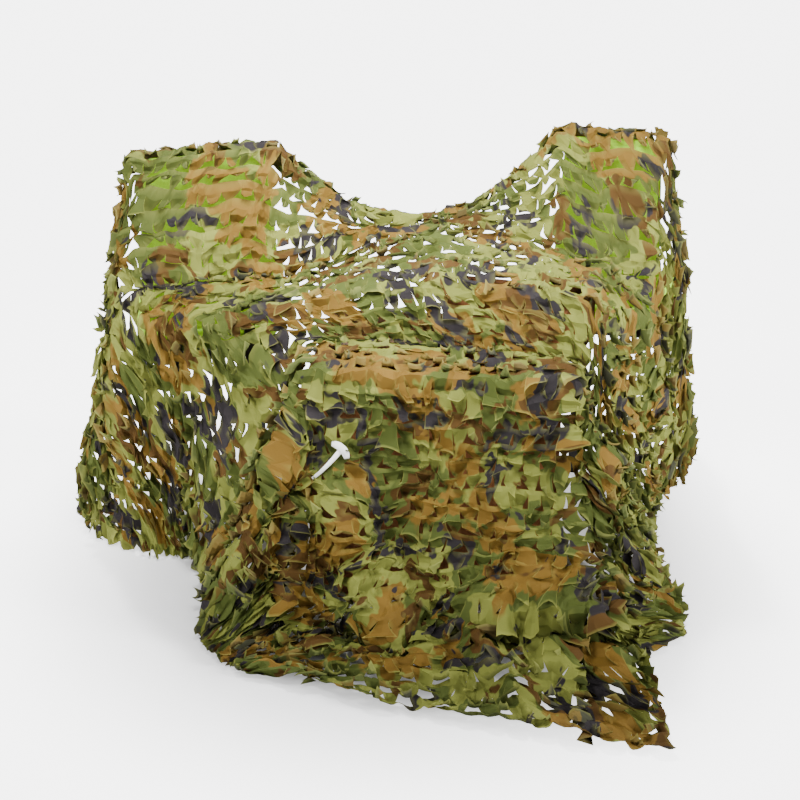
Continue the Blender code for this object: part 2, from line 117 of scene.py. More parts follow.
RIPPLE_RIGHT = 1.1       # where the right fall's pleats start
SLANT_WAVE = (0.9, 0.37)         # turns of the slanting wave, by column and by row
FLARE = 1.45             # how late a fall spreads towards its foot
FOLD_FADE = 0.15         # share of a fold's length over which its ends die away

# Cells from the floor, a crest, the chairs, the box and the front edge to where the net is free.
FREE_OF_FLOOR = 2.5
FREE_OF_CREST = 1.6
FREE_OF_BACK = (2.0, 3.5)
FREE_OF_BOX = (2.2, 3.6)
FREE_OF_FRONT = 3.0


# ---------------------------------------------------------------- the drape
def mix(a, b, share):
    """From a to b by a share."""
    return a + (b - a) * share


def fall(foot, crest, share):
    """A hanging edge of the net: steep under the crest, spreading towards the foot."""
    spread = (1.0 - share) ** FLARE
    level = mix(foot.z, crest.z, share)
    return Vector((mix(crest.x, foot.x, spread), mix(crest.y, foot.y, spread), level))


def across(section, column):
    """The point of one section at a column, which need not be whole."""
    left = (section.left_foot, section.left_outer, section.left_inner)
    right = (section.right_inner, section.right_outer, section.right_foot)
    left_foot, left_outer, left_inner = map(Vector, left)
    right_inner, right_outer, right_foot = map(Vector, right)
    outer_left, inner_left, inner_right, outer_right = section.marks
    if column <= outer_left:
        return fall(left_foot, left_outer, column / outer_left)
    if column <= inner_left:
        return mix(left_outer, left_inner, (column - outer_left) / (inner_left - outer_left))
    if column >= outer_right:
        return fall(right_foot, right_outer, (COLUMNS - column) / (COLUMNS - outer_right))
    if column >= inner_right:
        return mix(right_inner, right_outer, (column - inner_right) / (outer_right - inner_right))
    share = (column - inner_left) / (inner_right - inner_left)
    point = mix(left_inner, right_inner, share)
    point.z += (section.middle_z - (left_inner.z + right_inner.z) / 2) * 4 * share * (1 - share)
    return point


SECTION_ROWS = [sum(section.rows for section in SECTIONS[:index]) for index in range(len(SECTIONS))]
START = dict(zip((section.name for section in SECTIONS), SECTION_ROWS))
ROWS = SECTION_ROWS[-1]


def slope(points, rows, index, crease, side):
    """The tangent at a section: one-sided on a crease, and nowhere past a neighbour's level."""
    before = None if index == 0 else (points[index] - points[index - 1]) / (rows[index] - rows[index - 1])
    last = index == len(points) - 1
    after = None if last else (points[index + 1] - points[index]) / (rows[index + 1] - rows[index])
    if before is None or (crease and side > 0 and after is not None):
        return after
    if after is None or crease:
        return before
    return Vector([2 * a * b / (a + b) if a * b > 0.0 else 0.0 for a, b in zip(before, after)])


def base(column, row):
    """The net's underside before folds, by cubic steps from section to section."""
    row = min(max(row, 0.0), float(ROWS))
    index = max(i for i, start in enumerate(SECTION_ROWS[:-1]) if start <= row)
    window = range(max(index - 1, 0), min(index + 3, len(SECTIONS)))
    points = [across(SECTIONS[i], column) for i in window]
    rows = [SECTION_ROWS[i] for i in window]
    here = index - window[0]
    span = rows[here + 1] - rows[here]
    share = (row - rows[here]) / span
    start = slope(points, rows, here, SECTIONS[index].crease, 1) * span
    end = slope(points, rows, here + 1, SECTIONS[index + 1].crease, -1) * span
    square, cube = share * share, share * share * share
    return (points[here] * (2 * cube - 3 * square + 1) + start * (cube - 2 * square + share)
            + points[here + 1] * (3 * square - 2 * cube) + end * (cube - square))


def smooth(low, high, value):
    """A soft step from nought at low to one at high."""
    share = min(max((value - low) / (high - low), 0.0), 1.0)
    return share * share * (3 - 2 * share)


def crest_marks(row):
    """The columns of the outer crest points at a row."""
    index = max(i for i, start in enumerate(SECTION_ROWS[:-1]) if start <= min(row, ROWS - 0.001))
    share = (row - SECTION_ROWS[index]) / SECTIONS[index].rows
    left = mix(SECTIONS[index].marks[0], SECTIONS[index + 1].marks[0], share)
    right = mix(SECTIONS[index].marks[-1], SECTIONS[index + 1].marks[-1], share)
    return left, right


def freedom(column, row):
    """Nought where the net lies on something or meets the floor, one where it hangs free."""
    left, right = crest_marks(row)
    if column < left:
        return smooth(0.0, FREE_OF_FLOOR, column) * smooth(0.0, FREE_OF_CREST, left - column)
    if column > right:
        return smooth(0.0, FREE_OF_FLOOR, COLUMNS - column) * smooth(0.0, FREE_OF_CREST, column - right)
    if row <= START["front edge"]:
        return smooth(*FREE_OF_BACK, row) * smooth(*FREE_OF_BOX, START["box edge"] - row)
    return smooth(0.0, FREE_OF_FRONT, row - START["front edge"])


def fold_height(folds, column, row):
    """How high the folds stand at a point of the net."""
    height = 0.0
    for fold in folds:
        run = Vector(fold.end) - Vector(fold.start)
        offset = Vector((column, row)) - Vector(fold.start)
        along = offset.dot(run) / run.length_squared
        if -FOLD_FADE < along < 1.0 + FOLD_FADE:
            aside = (offset - run * along).length / fold.width
            ends = smooth(-FOLD_FADE, FOLD_FADE, along) * smooth(-FOLD_FADE, FOLD_FADE, 1.0 - along)
            height += fold.height * ends * math.exp(-aside * aside)
    return height


def ripple(column, row):
    """The smaller unevenness: pleats that run down each fall, never inwards by much."""
    left, right = crest_marks(row)
    down = max(left - column, column - right, 0.0)
    start = RIPPLE_RIGHT if column > right else 0.0
    wave = math.sin(2 * math.pi * row / RIPPLE_ROWS + RIPPLE_LAG * down + start)
    slant = math.sin(SLANT_WAVE[0] * column + SLANT_WAVE[1] * row)
    return RIPPLE * (RIPPLE_MEAN + RIPPLE_DOWN * wave + RIPPLE_SLANT * slant)


# ---------------------------------------------------------------- the drape as a table
TABLE_STEPS = 4          # table steps a cell

# Smaller creases than the solid has, in the same terms as its folds.
CREASES = (
    Fold("front pull", (13.8, 22.2), (17.4, 27.5), 0.60, 0.050),
    Fold("front pull, low", (17.4, 27.5), (21.6, 33.6), 0.60, 0.056),
    Fold("front hollow", (15.9, 22.5), (19.4, 27.2), 0.85, -0.022),
    Fold("front drag", (19.6, 19.0), (22.5, 26.0), 0.55, 0.012),
    Fold("foot roll", (19.8, 26.2), (27.0, 25.9), 0.90, 0.042),
    Fold("tuck hollow", (19.4, 28.6), (27.5, 28.3), 0.60, -0.036),
    Fold("train swell", (22.0, 31.2), (33.0, 30.6), 0.90, 0.022),
    Fold("left edge roll", (12.3, 17.5), (12.6, 27.0), 0.50, 0.014),
    Fold("right edge roll", (23.8, 17.5), (23.6, 26.0), 0.50, 0.014),
    Fold("sag pull", (14.0, 4.0), (21.0, 11.0), 0.70, 0.012),
    Fold("sag return", (23.5, 4.5), (17.0, 10.5), 0.70, 0.012),
    Fold("left shoulder", (9.5, 3.5), (12.0, 9.5), 0.60, 0.012),
    Fold("right shoulder", (26.5, 3.5), (24.5, 9.5), 0.60, 0.012),
    Fold("left wing drag", (2.0, 9.0), (9.0, 12.0), 0.70, 0.014),
    Fold("right wing drag", (27.0, 12.0), (34.0, 10.0), 0.70, 0.014),
    Fold("right fall pleat", (26.5, 19.0), (34.5, 21.0), 0.80, 0.014),
    Fold("left fall pleat", (2.0, 20.5), (10.0, 20.0), 0.80, 0.012),
    Fold("train pucker", (15.0, 32.3), (21.0, 33.0), 0.70, 0.012),
)

# Rumples where the net is bunched on the chair tops, which no fold of the solid reaches.
CROWNS = (
    Fold("left crown", (12.0, 1.4), (13.2, 2.0), 0.80, 0.012),
    Fold("right crown", (23.1, 1.6), (24.2, 2.0), 0.70, 0.012),
)


def drape_tables():
    """Places, outward directions and freedom of the net's face, by table column and row."""
    columns = np.linspace(0, COLUMNS, COLUMNS * TABLE_STEPS + 1)
    rows = np.linspace(0, ROWS, ROWS * TABLE_STEPS + 1)
    flat = np.array([[base(c, r) for r in rows] for c in columns])
    out = outward(flat)
    loose = np.array([[freedom(c, r) for r in rows] for c in columns])
    rise = np.array([[fold_height(FOLDS, c, r) + ripple(c, r) + fold_height(CREASES, c, r)
                      for r in rows] for c in columns])
    crowns = np.array([[fold_height(CROWNS, c, r) for r in rows] for c in columns])
    place = flat + out * (loose * rise + crowns)[..., None]
    return place, outward(place), loose


def outward(place):
    """Unit directions off the net's face, away from what it lies on."""
    right = np.gradient(place, axis=0)
    front = np.gradient(place, axis=1)
    out = np.cross(front, right)
    return out / np.maximum(np.linalg.norm(out, axis=-1, keepdims=True), 1e-9)


PLACE, OUT, LOOSE = drape_tables()
MIDDLE = COLUMNS * TABLE_STEPS // 2

# Flat coordinates of the cloth: x runs along a section from the middle column, y from the
# back hem to the front, both as lengths over the drape.
X_AT = np.zeros(PLACE.shape[:2])
X_AT[1:] = np.cumsum(np.linalg.norm(np.diff(PLACE, axis=0), axis=-1), axis=0)
X_AT -= X_AT[MIDDLE]
MEASURED = slice(10 * TABLE_STEPS, 26 * TABLE_STEPS)      # columns whose length gives y
Y_AT = np.concatenate(([0.0], np.cumsum(
    np.linalg.norm(np.diff(PLACE[MEASURED], axis=1), axis=-1).mean(axis=0))))
LENGTH = float(Y_AT[-1])
RIGHT = np.gradient(PLACE, axis=0)
SPREAD = np.linalg.norm(np.gradient(PLACE, axis=1), axis=-1) / np.gradient(Y_AT)[None, :]


def edges_at(y):
    """The flat x of the left and the right hem at a flat y."""
    return np.interp(y, Y_AT, X_AT[0]), np.interp(y, Y_AT, X_AT[-1])


def cells_at(points):
    """The table column and row of flat points, as fractions."""
    row = np.interp(points[:, 1], Y_AT, np.arange(len(Y_AT)))
    low = np.minimum(row.astype(int), len(Y_AT) - 2)
    column = np.zeros(len(points))
    steps = np.arange(len(PLACE))
    for index in np.unique(low):
        here = low == index
        share = row[here] - index
        first = np.interp(points[here, 0], X_AT[:, index], steps)
        second = np.interp(points[here, 0], X_AT[:, index + 1], steps)
        column[here] = first * (1 - share) + second * share
    return column, row


def sample(table, column, row):
    """A table's value between its entries."""
    c = np.clip(column.astype(int), 0, table.shape[0] - 2)
    r = np.clip(row.astype(int), 0, table.shape[1] - 2)
    u, v = column - c, row - r
    if table.ndim == 3:
        u, v = u[:, None], v[:, None]
    return (table[c, r] * (1 - u) * (1 - v) + table[c + 1, r] * u * (1 - v)
            + table[c, r + 1] * (1 - u) * v + table[c + 1, r + 1] * u * v)


# ---------------------------------------------------------------- how the net is cut
LEAF_PITCH = 0.063       # from one leaf to the next in its row
ROW_PITCH = 0.0345       # from one row of cuts to the next
JOIN_WIDTH = 0.027       # where a leaf hangs on
LEAF_WIDTH = 0.050       # at its flared foot
LEAF_LENGTH = 0.042
FINENESS = (0.84, 1.05)  # the pattern's scale at the back hem and at the front
CUT_SHARE = 0.80         # depth of a cut as a share of the row pitch
FIRST_ROW = 0.014        # from the back hem to the first row of cuts
HEM = 0.010              # least cloth between a cut and the hem
ACROSS = (-1.0, -0.86, -0.45, 0.0, 0.45, 0.86, 1.0)     # points across a leaf
ALONG = (0.0, 0.22, 0.44, 0.66, 0.86, 1.0)              # points from join to foot
SIDE_STEPS = 4           # edges down each side of a cut
FOOT_STEPS = 6           # edges along the foot of a cut
GRAIN = 0.0095           # spacing of the sheet's own points
LOBE = 0.050             # one scallop of the hem
LOBE_DEPTH = 0.013
STANDOFF = 0.004         # mean height of the cloth above what it lies on
LOWEST = 0.0015          # no point of the sheet is lower than this
HIGHEST = 0.918          # and none is higher than this
CREASED = math.radians(16.0)    # the cloth shows a crease where it turns by more than this
LEAST_SPREAD = 0.45      # where rows bunch closer than this share, leaves are thinned
LEAST_REACH = 0.80       # and where they bunch closer than this, leaves are shorter
STRETCHED = 1.55         # where rows lie further apart than this, small leaves go between them
THINNED = 0.5            # share of the leaves left out where rows bunch
SHUT_SHRINK = 0.60       # how much smaller a cut is where the net's weight holds it shut
LEVEL_SHUT = 0.70        # how far shut the cuts are where the net lies level
GAPE_SHRINK = 0.42       # how much narrower a leaf curls up where the cuts gape
GAPE_DEEPER = 0.12       # and how much deeper its cut is there
ROW_JITTER = 0.001       # how far a row lies off its place
LEAF_JITTER = 0.0035     # and a leaf off its own in the row
GAPE_RANGE = (0.25, 1.1)         # shares of the gape about it that a cut takes
SIZE_RANGE = (0.86, 1.04)
DEPTH_RANGE = (0.86, 1.0)
CORNER_RANGE = (-0.10, 0.10)     # how far a leaf's corners reach past its foot, as shares of it
MOST_STRETCH = 1.6       # rows drawn further apart than this make the cuts no shorter
DEEPEST = 0.86           # no cut is deeper than this share of the row pitch
FALLEN = 1.5             # columns past a crest by which the cuts of a fall are held shut
LEVEL_RISE = (0.4, 0.9)  # upward parts of the net's direction between which it counts as level

# A small leaf between two rows: its size, start, depth and cut as shares, and how far it is shut.
SMALL_SIZE = 0.85
SMALL_START = 0.67
SMALL_DEPTH = 0.18
SMALL_CUT = 0.85
SMALL_SHUT = 0.5

LEAF_FLARE = 1.7         # how late a leaf spreads to its corners
FOOT_BOW = 0.05          # how far a cut's foot bows out, as a share of its depth
CUT_REACH = 1.1          # a cut's depth with its corners, as a share
LOBE_ROUND = 0.7         # how round a scallop is: one is half a wave, less is fuller
LOBE_STEPS = 8           # points round a scallop
GRAIN_CLEAR = 0.45       # how clear of the cuts the sheet's own points stay, as a share of GRAIN
GRAIN_ROW = 0.87         # spacing of their rows, as a share of GRAIN
GRAIN_JITTER = 0.18      # how far a point is off its place, as a share of GRAIN
WELD = 1e-7              # flat points nearer than this are one point

# Where the net is drawn open, so that its cuts gape: centre and reach in columns and rows.
Gape = namedtuple("Gape", "name column row wide long amount")
GAPES = (
    Gape("left chair top", 12.0, 2.4, 2.8, 1.7, 1.00),
    Gape("left chair inner", 13.4, 5.0, 1.0, 2.4, 0.70),
    Gape("left chair outer", 10.6, 4.4, 0.8, 1.6, 0.60),
    Gape("left chair face", 12.0, 5.6, 1.2, 1.2, 0.35),
    Gape("right chair top", 24.4, 2.4, 2.0, 1.7, 1.00),
    Gape("right chair inner", 23.6, 5.2, 1.0, 2.8, 0.75),
    Gape("right chair face", 25.0, 5.6, 0.9, 1.6, 0.50),
    Gape("left hollow", 7.5, 13.5, 1.6, 1.6, 0.75),
    Gape("left wing rim", 4.0, 0.8, 5.0, 1.0, 0.40),
    Gape("right wing rim", 32.0, 0.8, 5.0, 1.0, 0.40),
    Gape("right side", 26.5, 14.5, 1.2, 1.6, 0.40),
    Gape("train", 16.5, 32.5, 3.0, 1.2, 0.30),
)


def gape_at(column, row):
    """How far the cuts stand open, from nought to one."""
    most = 0.0
    for gape in GAPES:
        off = ((column - gape.column) / gape.wide) ** 2 + ((row - gape.row) / gape.long) ** 2
        most = max(most, gape.amount * math.exp(-off))
    return most


# A leaf's join and width are its own; "cut" is how wide its cut is beside it, and "shut" how far
# the net's own weight holds the cut closed, as it does on the falls and on level stretches.
Leaf = namedtuple("Leaf", "x y join width cut depth left_corner right_corner gape spread shut")


def notch(run):
    """How far the scalloped hem stands back at a length along it."""
    return LOBE_DEPTH * (1.0 - abs(math.sin(math.pi * run / LOBE)) ** LOBE_ROUND)


def within(x, y, margin):
    """Whether a flat point lies inside the hem by a margin."""
    left, right = edges_at(y)
    return (left + notch(y) + margin < x < right - notch(y) - margin
            and notch(x) + margin < y < LENGTH - notch(x) - margin)


def fineness(y):
    """The pattern's scale at a flat y."""
    return mix(*FINENESS, y / LENGTH)


def row_starts():
    """The flat y of each row of cuts, from the back hem to the front."""
    starts = [FIRST_ROW]
    while starts[-1] < LENGTH:
        starts.append(starts[-1] + ROW_PITCH * fineness(starts[-1]))
    return starts


ROW_STARTS = row_starts()


def shut_at(column, row, rise):
    """How far the net's weight holds a cut shut; rise is the upward part of its outward direction."""
    left, right = crest_marks(row)
    fallen = smooth(0.0, FALLEN, max(left - column, column - right))
    return max(fallen, LEVEL_SHUT * smooth(*LEVEL_RISE, rise))


def fits(leaf):
    """Whether a leaf's cut lies inside the hem."""
    half = leaf.cut * leaf.width / 2
    sides = (leaf.x - half, leaf.x + half)
    return all(within(x, y, HEM) for x in sides for y in (leaf.y, leaf.y + leaf.depth))


def leaf_between(x, y, pitch, scale):
    """A small leaf below a row's cuts and between two of them, or None where the rows are close."""
    column, row = cells_at(np.array([[x, y], [x + pitch, y]]))
    spread = float(sample(SPREAD, column, row).min())
    if spread < STRETCHED:
        return None
    size = SMALL_SIZE * scale
    small = Leaf(x + pitch / 2, y + SMALL_START * ROW_PITCH * scale, JOIN_WIDTH * size,
                 LEAF_WIDTH * size, SMALL_CUT, SMALL_DEPTH * ROW_PITCH * scale, 0.0, 0.0, 0.0,
                 spread, SMALL_SHUT)
    return small if fits(small) else None


def cut_leaves():
    """Staggered rows of leaves over the whole cloth, each a little off its place."""
    leaves = []
    for k, start in enumerate(ROW_STARTS):
        y = start + random.uniform(-ROW_JITTER, ROW_JITTER)
        scale = fineness(y)
        pitch = LEAF_PITCH * scale
        left, right = edges_at(y)
        for m in range(int(left / pitch) - 1, int(right / pitch) + 2):
            x = (m + 0.5 * (k % 2)) * pitch + random.uniform(-LEAF_JITTER, LEAF_JITTER)
            column, row = cells_at(np.array([[x, y]]))
            spread = float(sample(SPREAD, column, row)[0])
            cell = float(column[0]) / TABLE_STEPS, float(row[0]) / TABLE_STEPS
            gape = gape_at(*cell) * random.uniform(*GAPE_RANGE)
            shut = shut_at(*cell, float(sample(OUT, column, row)[0, 2])) * (1 - gape)
            size = scale * random.uniform(*SIZE_RANGE) * (1 - GAPE_SHRINK * gape)
            shrink = (1 - SHUT_SHRINK * shut) * (1 + GAPE_DEEPER * gape)
            stretch = min(max(spread, 1.0), MOST_STRETCH)
            share = CUT_SHARE * random.uniform(*DEPTH_RANGE) * shrink / stretch
            depth = ROW_PITCH * scale * min(share, DEEPEST)
            cut = shrink / (1 - GAPE_SHRINK * gape)
            bunched = spread < LEAST_SPREAD and random.random() < THINNED
            leaf = Leaf(x, y, JOIN_WIDTH * size, LEAF_WIDTH * size, cut, depth,
                        random.uniform(*CORNER_RANGE), random.uniform(*CORNER_RANGE),
                        gape, spread, shut)
            if fits(leaf) and not bunched:
                leaves.append(leaf)
            small = leaf_between(x, y, pitch, scale)
            if small:
                leaves.append(small)
    return leaves


def flare(leaf, down):
    """Half a leaf's width at a share of the way down: it spreads to its corners."""
    return mix(leaf.join, leaf.width, down ** LEAF_FLARE) / 2


def cut_outline(leaf):
    """The cut in flat coordinates: the line where the leaf joins, then round its free side."""
    points = [(leaf.x + leaf.cut * leaf.join / 2 * share, leaf.y) for share in ACROSS]
    left_foot = leaf.depth * (1 + leaf.left_corner)
    right_foot = leaf.depth * (1 + leaf.right_corner)
    for step in range(1, SIDE_STEPS + 1):
        down = step / SIDE_STEPS
        points.append((leaf.x + leaf.cut * flare(leaf, down), leaf.y + right_foot * down))
    for step in range(1, FOOT_STEPS):
        share = step / FOOT_STEPS
        foot = mix(right_foot, left_foot, share) + FOOT_BOW * leaf.depth * math.sin(math.pi * share)
        points.append((leaf.x + leaf.cut * flare(leaf, 1.0) * (1 - 2 * share), leaf.y + foot))
    for step in range(SIDE_STEPS, 0, -1):
        down = step / SIDE_STEPS
        points.append((leaf.x - leaf.cut * flare(leaf, down), leaf.y + left_foot * down))
    return points


def hem_loop():
    """The scalloped outline of the flat cloth."""
    step = LOBE / LOBE_STEPS
    down = [index * step for index in range(int(LENGTH / step) + 1)]
    back_left, back_right = edges_at(0.0)
    front_left, front_right = edges_at(LENGTH)
    front_run = np.arange(front_left + step, front_right - step / 2, step)
    back_run = np.arange(back_left + step, back_right - step / 2, step)
    loop = [(edges_at(y)[0] + notch(y), y) for y in down]
    loop += [(x, LENGTH - notch(x)) for x in front_run]
    loop += [(edges_at(y)[1] - notch(y), y) for y in reversed(down)]
    loop += [(x, notch(x)) for x in reversed(back_run)]
    return loop


def grain_points(leaves):
    """Points of the cloth between its cuts, on a jittered grid."""
    by_cell = {}
    reach = GRAIN * GRAIN_CLEAR
    for leaf in leaves:
        first = int((leaf.x - leaf.cut * leaf.width) // LEAF_PITCH)
        last = int((leaf.x + leaf.cut * leaf.width) // LEAF_PITCH)
        for a in range(first, last + 1):
            for b in range(int(leaf.y // ROW_PITCH) - 1, int((leaf.y + leaf.depth) // ROW_PITCH) + 2):
                by_cell.setdefault((a, b), []).append(leaf)
    points = []
    left, right = float(X_AT.min()), float(X_AT.max())
    for row in range(int(LENGTH / (GRAIN * GRAIN_ROW))):
        for column in range(int((right - left) / GRAIN)):
            x = left + (column + 0.5 * (row % 2)) * GRAIN
            x += random.uniform(-GRAIN_JITTER, GRAIN_JITTER) * GRAIN
            y = (row + 0.5) * GRAIN * GRAIN_ROW + random.uniform(-GRAIN_JITTER, GRAIN_JITTER) * GRAIN
            near = by_cell.get((int(x // LEAF_PITCH), int(y // ROW_PITCH)), ())
            if within(x, y, reach) and not any(in_cut(leaf, x, y, reach) for leaf in near):
                points.append((x, y))
    return points


def in_cut(leaf, x, y, margin):
    """Whether a flat point lies in a leaf's cut, or within a margin of it."""
    down = (y - leaf.y) / leaf.depth
    if not -margin / leaf.depth < down < CUT_REACH + margin / leaf.depth:
        return False
    return abs(x - leaf.x) < leaf.cut * flare(leaf, min(max(down, 0.0), 1.0)) + margin


# Unevenness of the cloth itself, from broad to fine: waves to the metre, height, noise place.
COCKLES = ((8.0, 0.0105, 0.0), (21.0, 0.0090, 5.0), (52.0, 0.0032, 9.0))
RIDGE_MEAN = 0.45        # the noise's usual level, taken off so that the sheet stays on the drape


def crumple(x, y):
    """The cloth's own unevenness at a flat point: sharp little ridges over softer hollows."""
    height = 0.0
    for waves, rise, place in COCKLES:
        ridge = 1.0 - 2.0 * abs(noise.noise(Vector((x * waves, y * waves, place))))
        height += rise * (ridge - RIDGE_MEAN)
    return height


# How the cloth is drawn about in its own plane, so that no row hangs straight: waves to the
# metre, and shift.
DRAWS = ((9.0, 0.021), (23.0, 0.008))
DRAW_FADE = 0.05         # within this distance of the hem it dies away
DRAW_PLACE = 40.0        # its place in the noise


def drawn(flat):
    """Flat points shifted within the cloth's plane by a smooth, uneven pull."""
    left, right = edges_at(flat[:, 1])
    inside = np.minimum.reduce((flat[:, 0] - left, right - flat[:, 0], flat[:, 1], LENGTH - flat[:, 1]))
    share = np.clip(inside / DRAW_FADE, 0.0, 1.0)
    shift = np.zeros(flat.shape)
    for index, (x, y) in enumerate(flat.tolist()):
        for waves, amount in DRAWS:
            pull = noise.noise_vector(Vector((x * waves, y * waves, DRAW_PLACE)))
            shift[index] += (amount * pull.x, amount * pull.y)
    return flat + shift * share[:, None]


def lay_on_drape(flat):
    """Flat points laid on the drape, with their frames: along the row, to the front, outward."""
    column, row = cells_at(drawn(flat))
    place = sample(PLACE, column, row)
    out = sample(OUT, column, row)
    out /= np.linalg.norm(out, axis=1, keepdims=True)
    right = sample(RIGHT, column, row)
    right /= np.maximum(np.linalg.norm(right, axis=1, keepdims=True), 1e-9)
    front = np.cross(right, out)
    loose = sample(LOOSE, column, row)
    return place, right, front, out, loose


TILT = 0.0060            # how far the sheet tips between two rows of cuts
TILT_SHARES = (0.9, 1.1)         # the mean of that, and its change from place to place
TILT_WAVES = 9
TILT_PLACE = 21.0
HELD = 0.5               # below this freedom the net lies on something
HELD_LIFT = 0.004        # and stands off by this much more
LEAST_LIFT = 0.001       # but never less than this
SWAY = (0.006, 0.005)    # how far the sheet's points sway along the row and down the net
SWAY_WAVES = 30
SWAY_PLACES = (3.0, 9.0)


def sheet_lift(flat, loose, tilts):
    """How far the sheet stands off the drape: proud where a leaf joins, set back below its cut."""
    wave = np.cos(2 * np.pi * np.interp(flat[:, 1], ROW_STARTS, np.arange(len(ROW_STARTS))))
    rise = np.array([crumple(x, y) for x, y in flat])
    lift = STANDOFF + SHEET / 2 + (rise + TILT * wave * tilts) * (1 - TIE_CALM_SHARE * near_tie(flat))
    lift += HELD_LIFT * (1 - loose)
    return np.where(loose < HELD, np.maximum(lift, LEAST_LIFT), lift)


def noise_at(flat, waves, place):
    """Smooth noise at flat points, for a number of waves to the metre."""
    return [noise.noise(Vector((x * waves, y * waves, place))) for x, y in flat]


def drape_points(flat):
    """The sheet's own points on the drape, crumpled."""
    place, right, front, out, loose = lay_on_drape(flat)
    tilts = TILT_SHARES[0] + TILT_SHARES[1] * np.array(noise_at(flat, TILT_WAVES, TILT_PLACE))
    place = place + out * sheet_lift(flat, loose, tilts)[:, None]
    sway = np.array([noise_at(flat, SWAY_WAVES, at) for at in SWAY_PLACES]).T
    place = place + right * sway[:, :1] * SWAY[0] + front * sway[:, 1:] * SWAY[1]
    place[:, 2] = np.clip(place[:, 2], LOWEST, HIGHEST)
    return place


def near_tie(flat):
    """One beside the tie and nought away from it, where leaves and cockles keep their height."""
    row = TIE_PLACE[1] * TABLE_STEPS
    across_tie = float(X_AT[int(TIE_PLACE[0] * TABLE_STEPS), int(row)]) + TIE_MIDDLE[0]
    down_tie = float(Y_AT[int(row)]) + TIE_MIDDLE[1]
    away = np.hypot(flat[:, 0] - across_tie, flat[:, 1] - down_tie)
    return np.exp(-(away / TIE_CALM) ** 2)


# ---------------------------------------------------------------- one leaf
# Ranges are least and most. A "lean" is least, most and likeliest. Angles are in radians.
LENGTH_RANGE = (0.88, 1.12)
GAPE_SHORTER = 0.35      # how much shorter a leaf is where its cut gapes
SHUT_LONGER = 0.12       # and how much longer where its cut is shut
POINT_LEAN = (-0.16, 0.22, -0.02)        # how far the middle of a foot stands out past its corners
CORNER_REACH = 0.08      # how far its corners stand out anyway
RIM_LIFT = 0.0022        # how far a cut edge curls up

EARED = 0.68             # share of the corners that are turned over
EAR_TURN = (0.45, 1.25)
EAR_ASIDE = (0.05, 0.26)         # where an ear's crease crosses the leaf, as shares of its width
EAR_DOWN = (0.50, 0.80)          # and of its length
EAR_LEAN = (-1.4, 2.4, 0.9)
EAR_RADIUS = 0.0025

CURL_DOWN = (0.40, 0.70)         # where the leaf curls, as shares of its length
CURL_TURN = (-0.8, 0.8)
CURL_LEAST = 0.35
CURL_LEAN = (-1.4, 1.2, 0.0)
CURL_RADIUS = 0.004

ROLL_LEAN = (-0.8, 1.3, 0.2)     # how far the sides roll
GAPE_ROLL = 0.9          # and how much more where the cut gapes
SWING_TURN = (-0.22, 0.22)
SWING_LEAN = (0.02, 1.15, 0.30)  # how far the leaf swings out at its join
GAPE_SWING = (0.3, 1.0)          # and how much more where the cut gapes
SWING_START = 0.001
SWING_RADIUS = 0.010

LIVELY = 0.25            # how much more a leaf bends where its cut is shut
LEVEL_CALM = 0.25        # share of its height that a leaf loses where the net lies level
LOWEST_LEAF = -0.002     # how far a leaf dips where the net lies on something
HOLE_RIM = 0.5           # how pale the hem and the sheet's side of a cut are, from fraying and a painted highlight; a leaf's edge is one


def bend(points, place, turn, angle, radius):
    """Bends local points (across, along, out) about a line in the flat leaf, as round as the radius."""
    normal = np.array((-math.sin(turn), math.cos(turn)))
    beyond = (points[..., :2] - np.array(place)) @ normal
    side = math.copysign(1.0, angle)
    theta = np.clip(beyond / radius, 0.0, abs(angle))
    straight = np.maximum(beyond - radius * abs(angle), 0.0)
    run = np.where(beyond < 0.0, beyond, radius * np.sin(theta) + straight * np.cos(theta))
    rise = side * (radius * (1.0 - np.cos(theta)) + straight * np.sin(theta))
    height = points[..., 2]
    run = run - side * np.sin(theta) * height
    bent = points.copy()
    bent[..., :2] += (run - beyond)[..., None] * normal
    bent[..., 2] = rise + np.cos(theta) * height
    return bent


def roll(points, half, angle):
    """Rolls a leaf's sides outward about its long line; a negative angle rolls them inward."""
    radius = half / max(abs(angle), 1e-6)
    theta = points[..., 0] / radius
    rolled = points.copy()
    rolled[..., 0] = np.sin(theta) * (radius - points[..., 2])
    rolled[..., 2] += math.copysign(1.0, angle) * radius * (1.0 - np.cos(theta))
    return rolled


def flat_leaf(leaf, length):
    """The leaf before it is bent, a grid of points, and how near each is to the cut edge."""
    point = random.triangular(*POINT_LEAN)
    grid = np.zeros((len(ALONG), len(ACROSS), 3))
    rim = np.zeros(grid.shape[:2])
    for j, down in enumerate(ALONG):
        for i, share in enumerate(ACROSS):
            corner = leaf.left_corner if share < 0 else leaf.right_corner
            shape = (corner + CORNER_REACH) * abs(share) ** 3 + point * (1 - abs(share))
            grid[j, i, :2] = flare(leaf, down) * share, length * (down + shape * down ** 3)
            on_edge = abs(share) == 1.0 or down == 1.0
            rim[j, i] = float(on_edge)
            grid[j, i, 2] = RIM_LIFT * down * on_edge
    return grid, rim


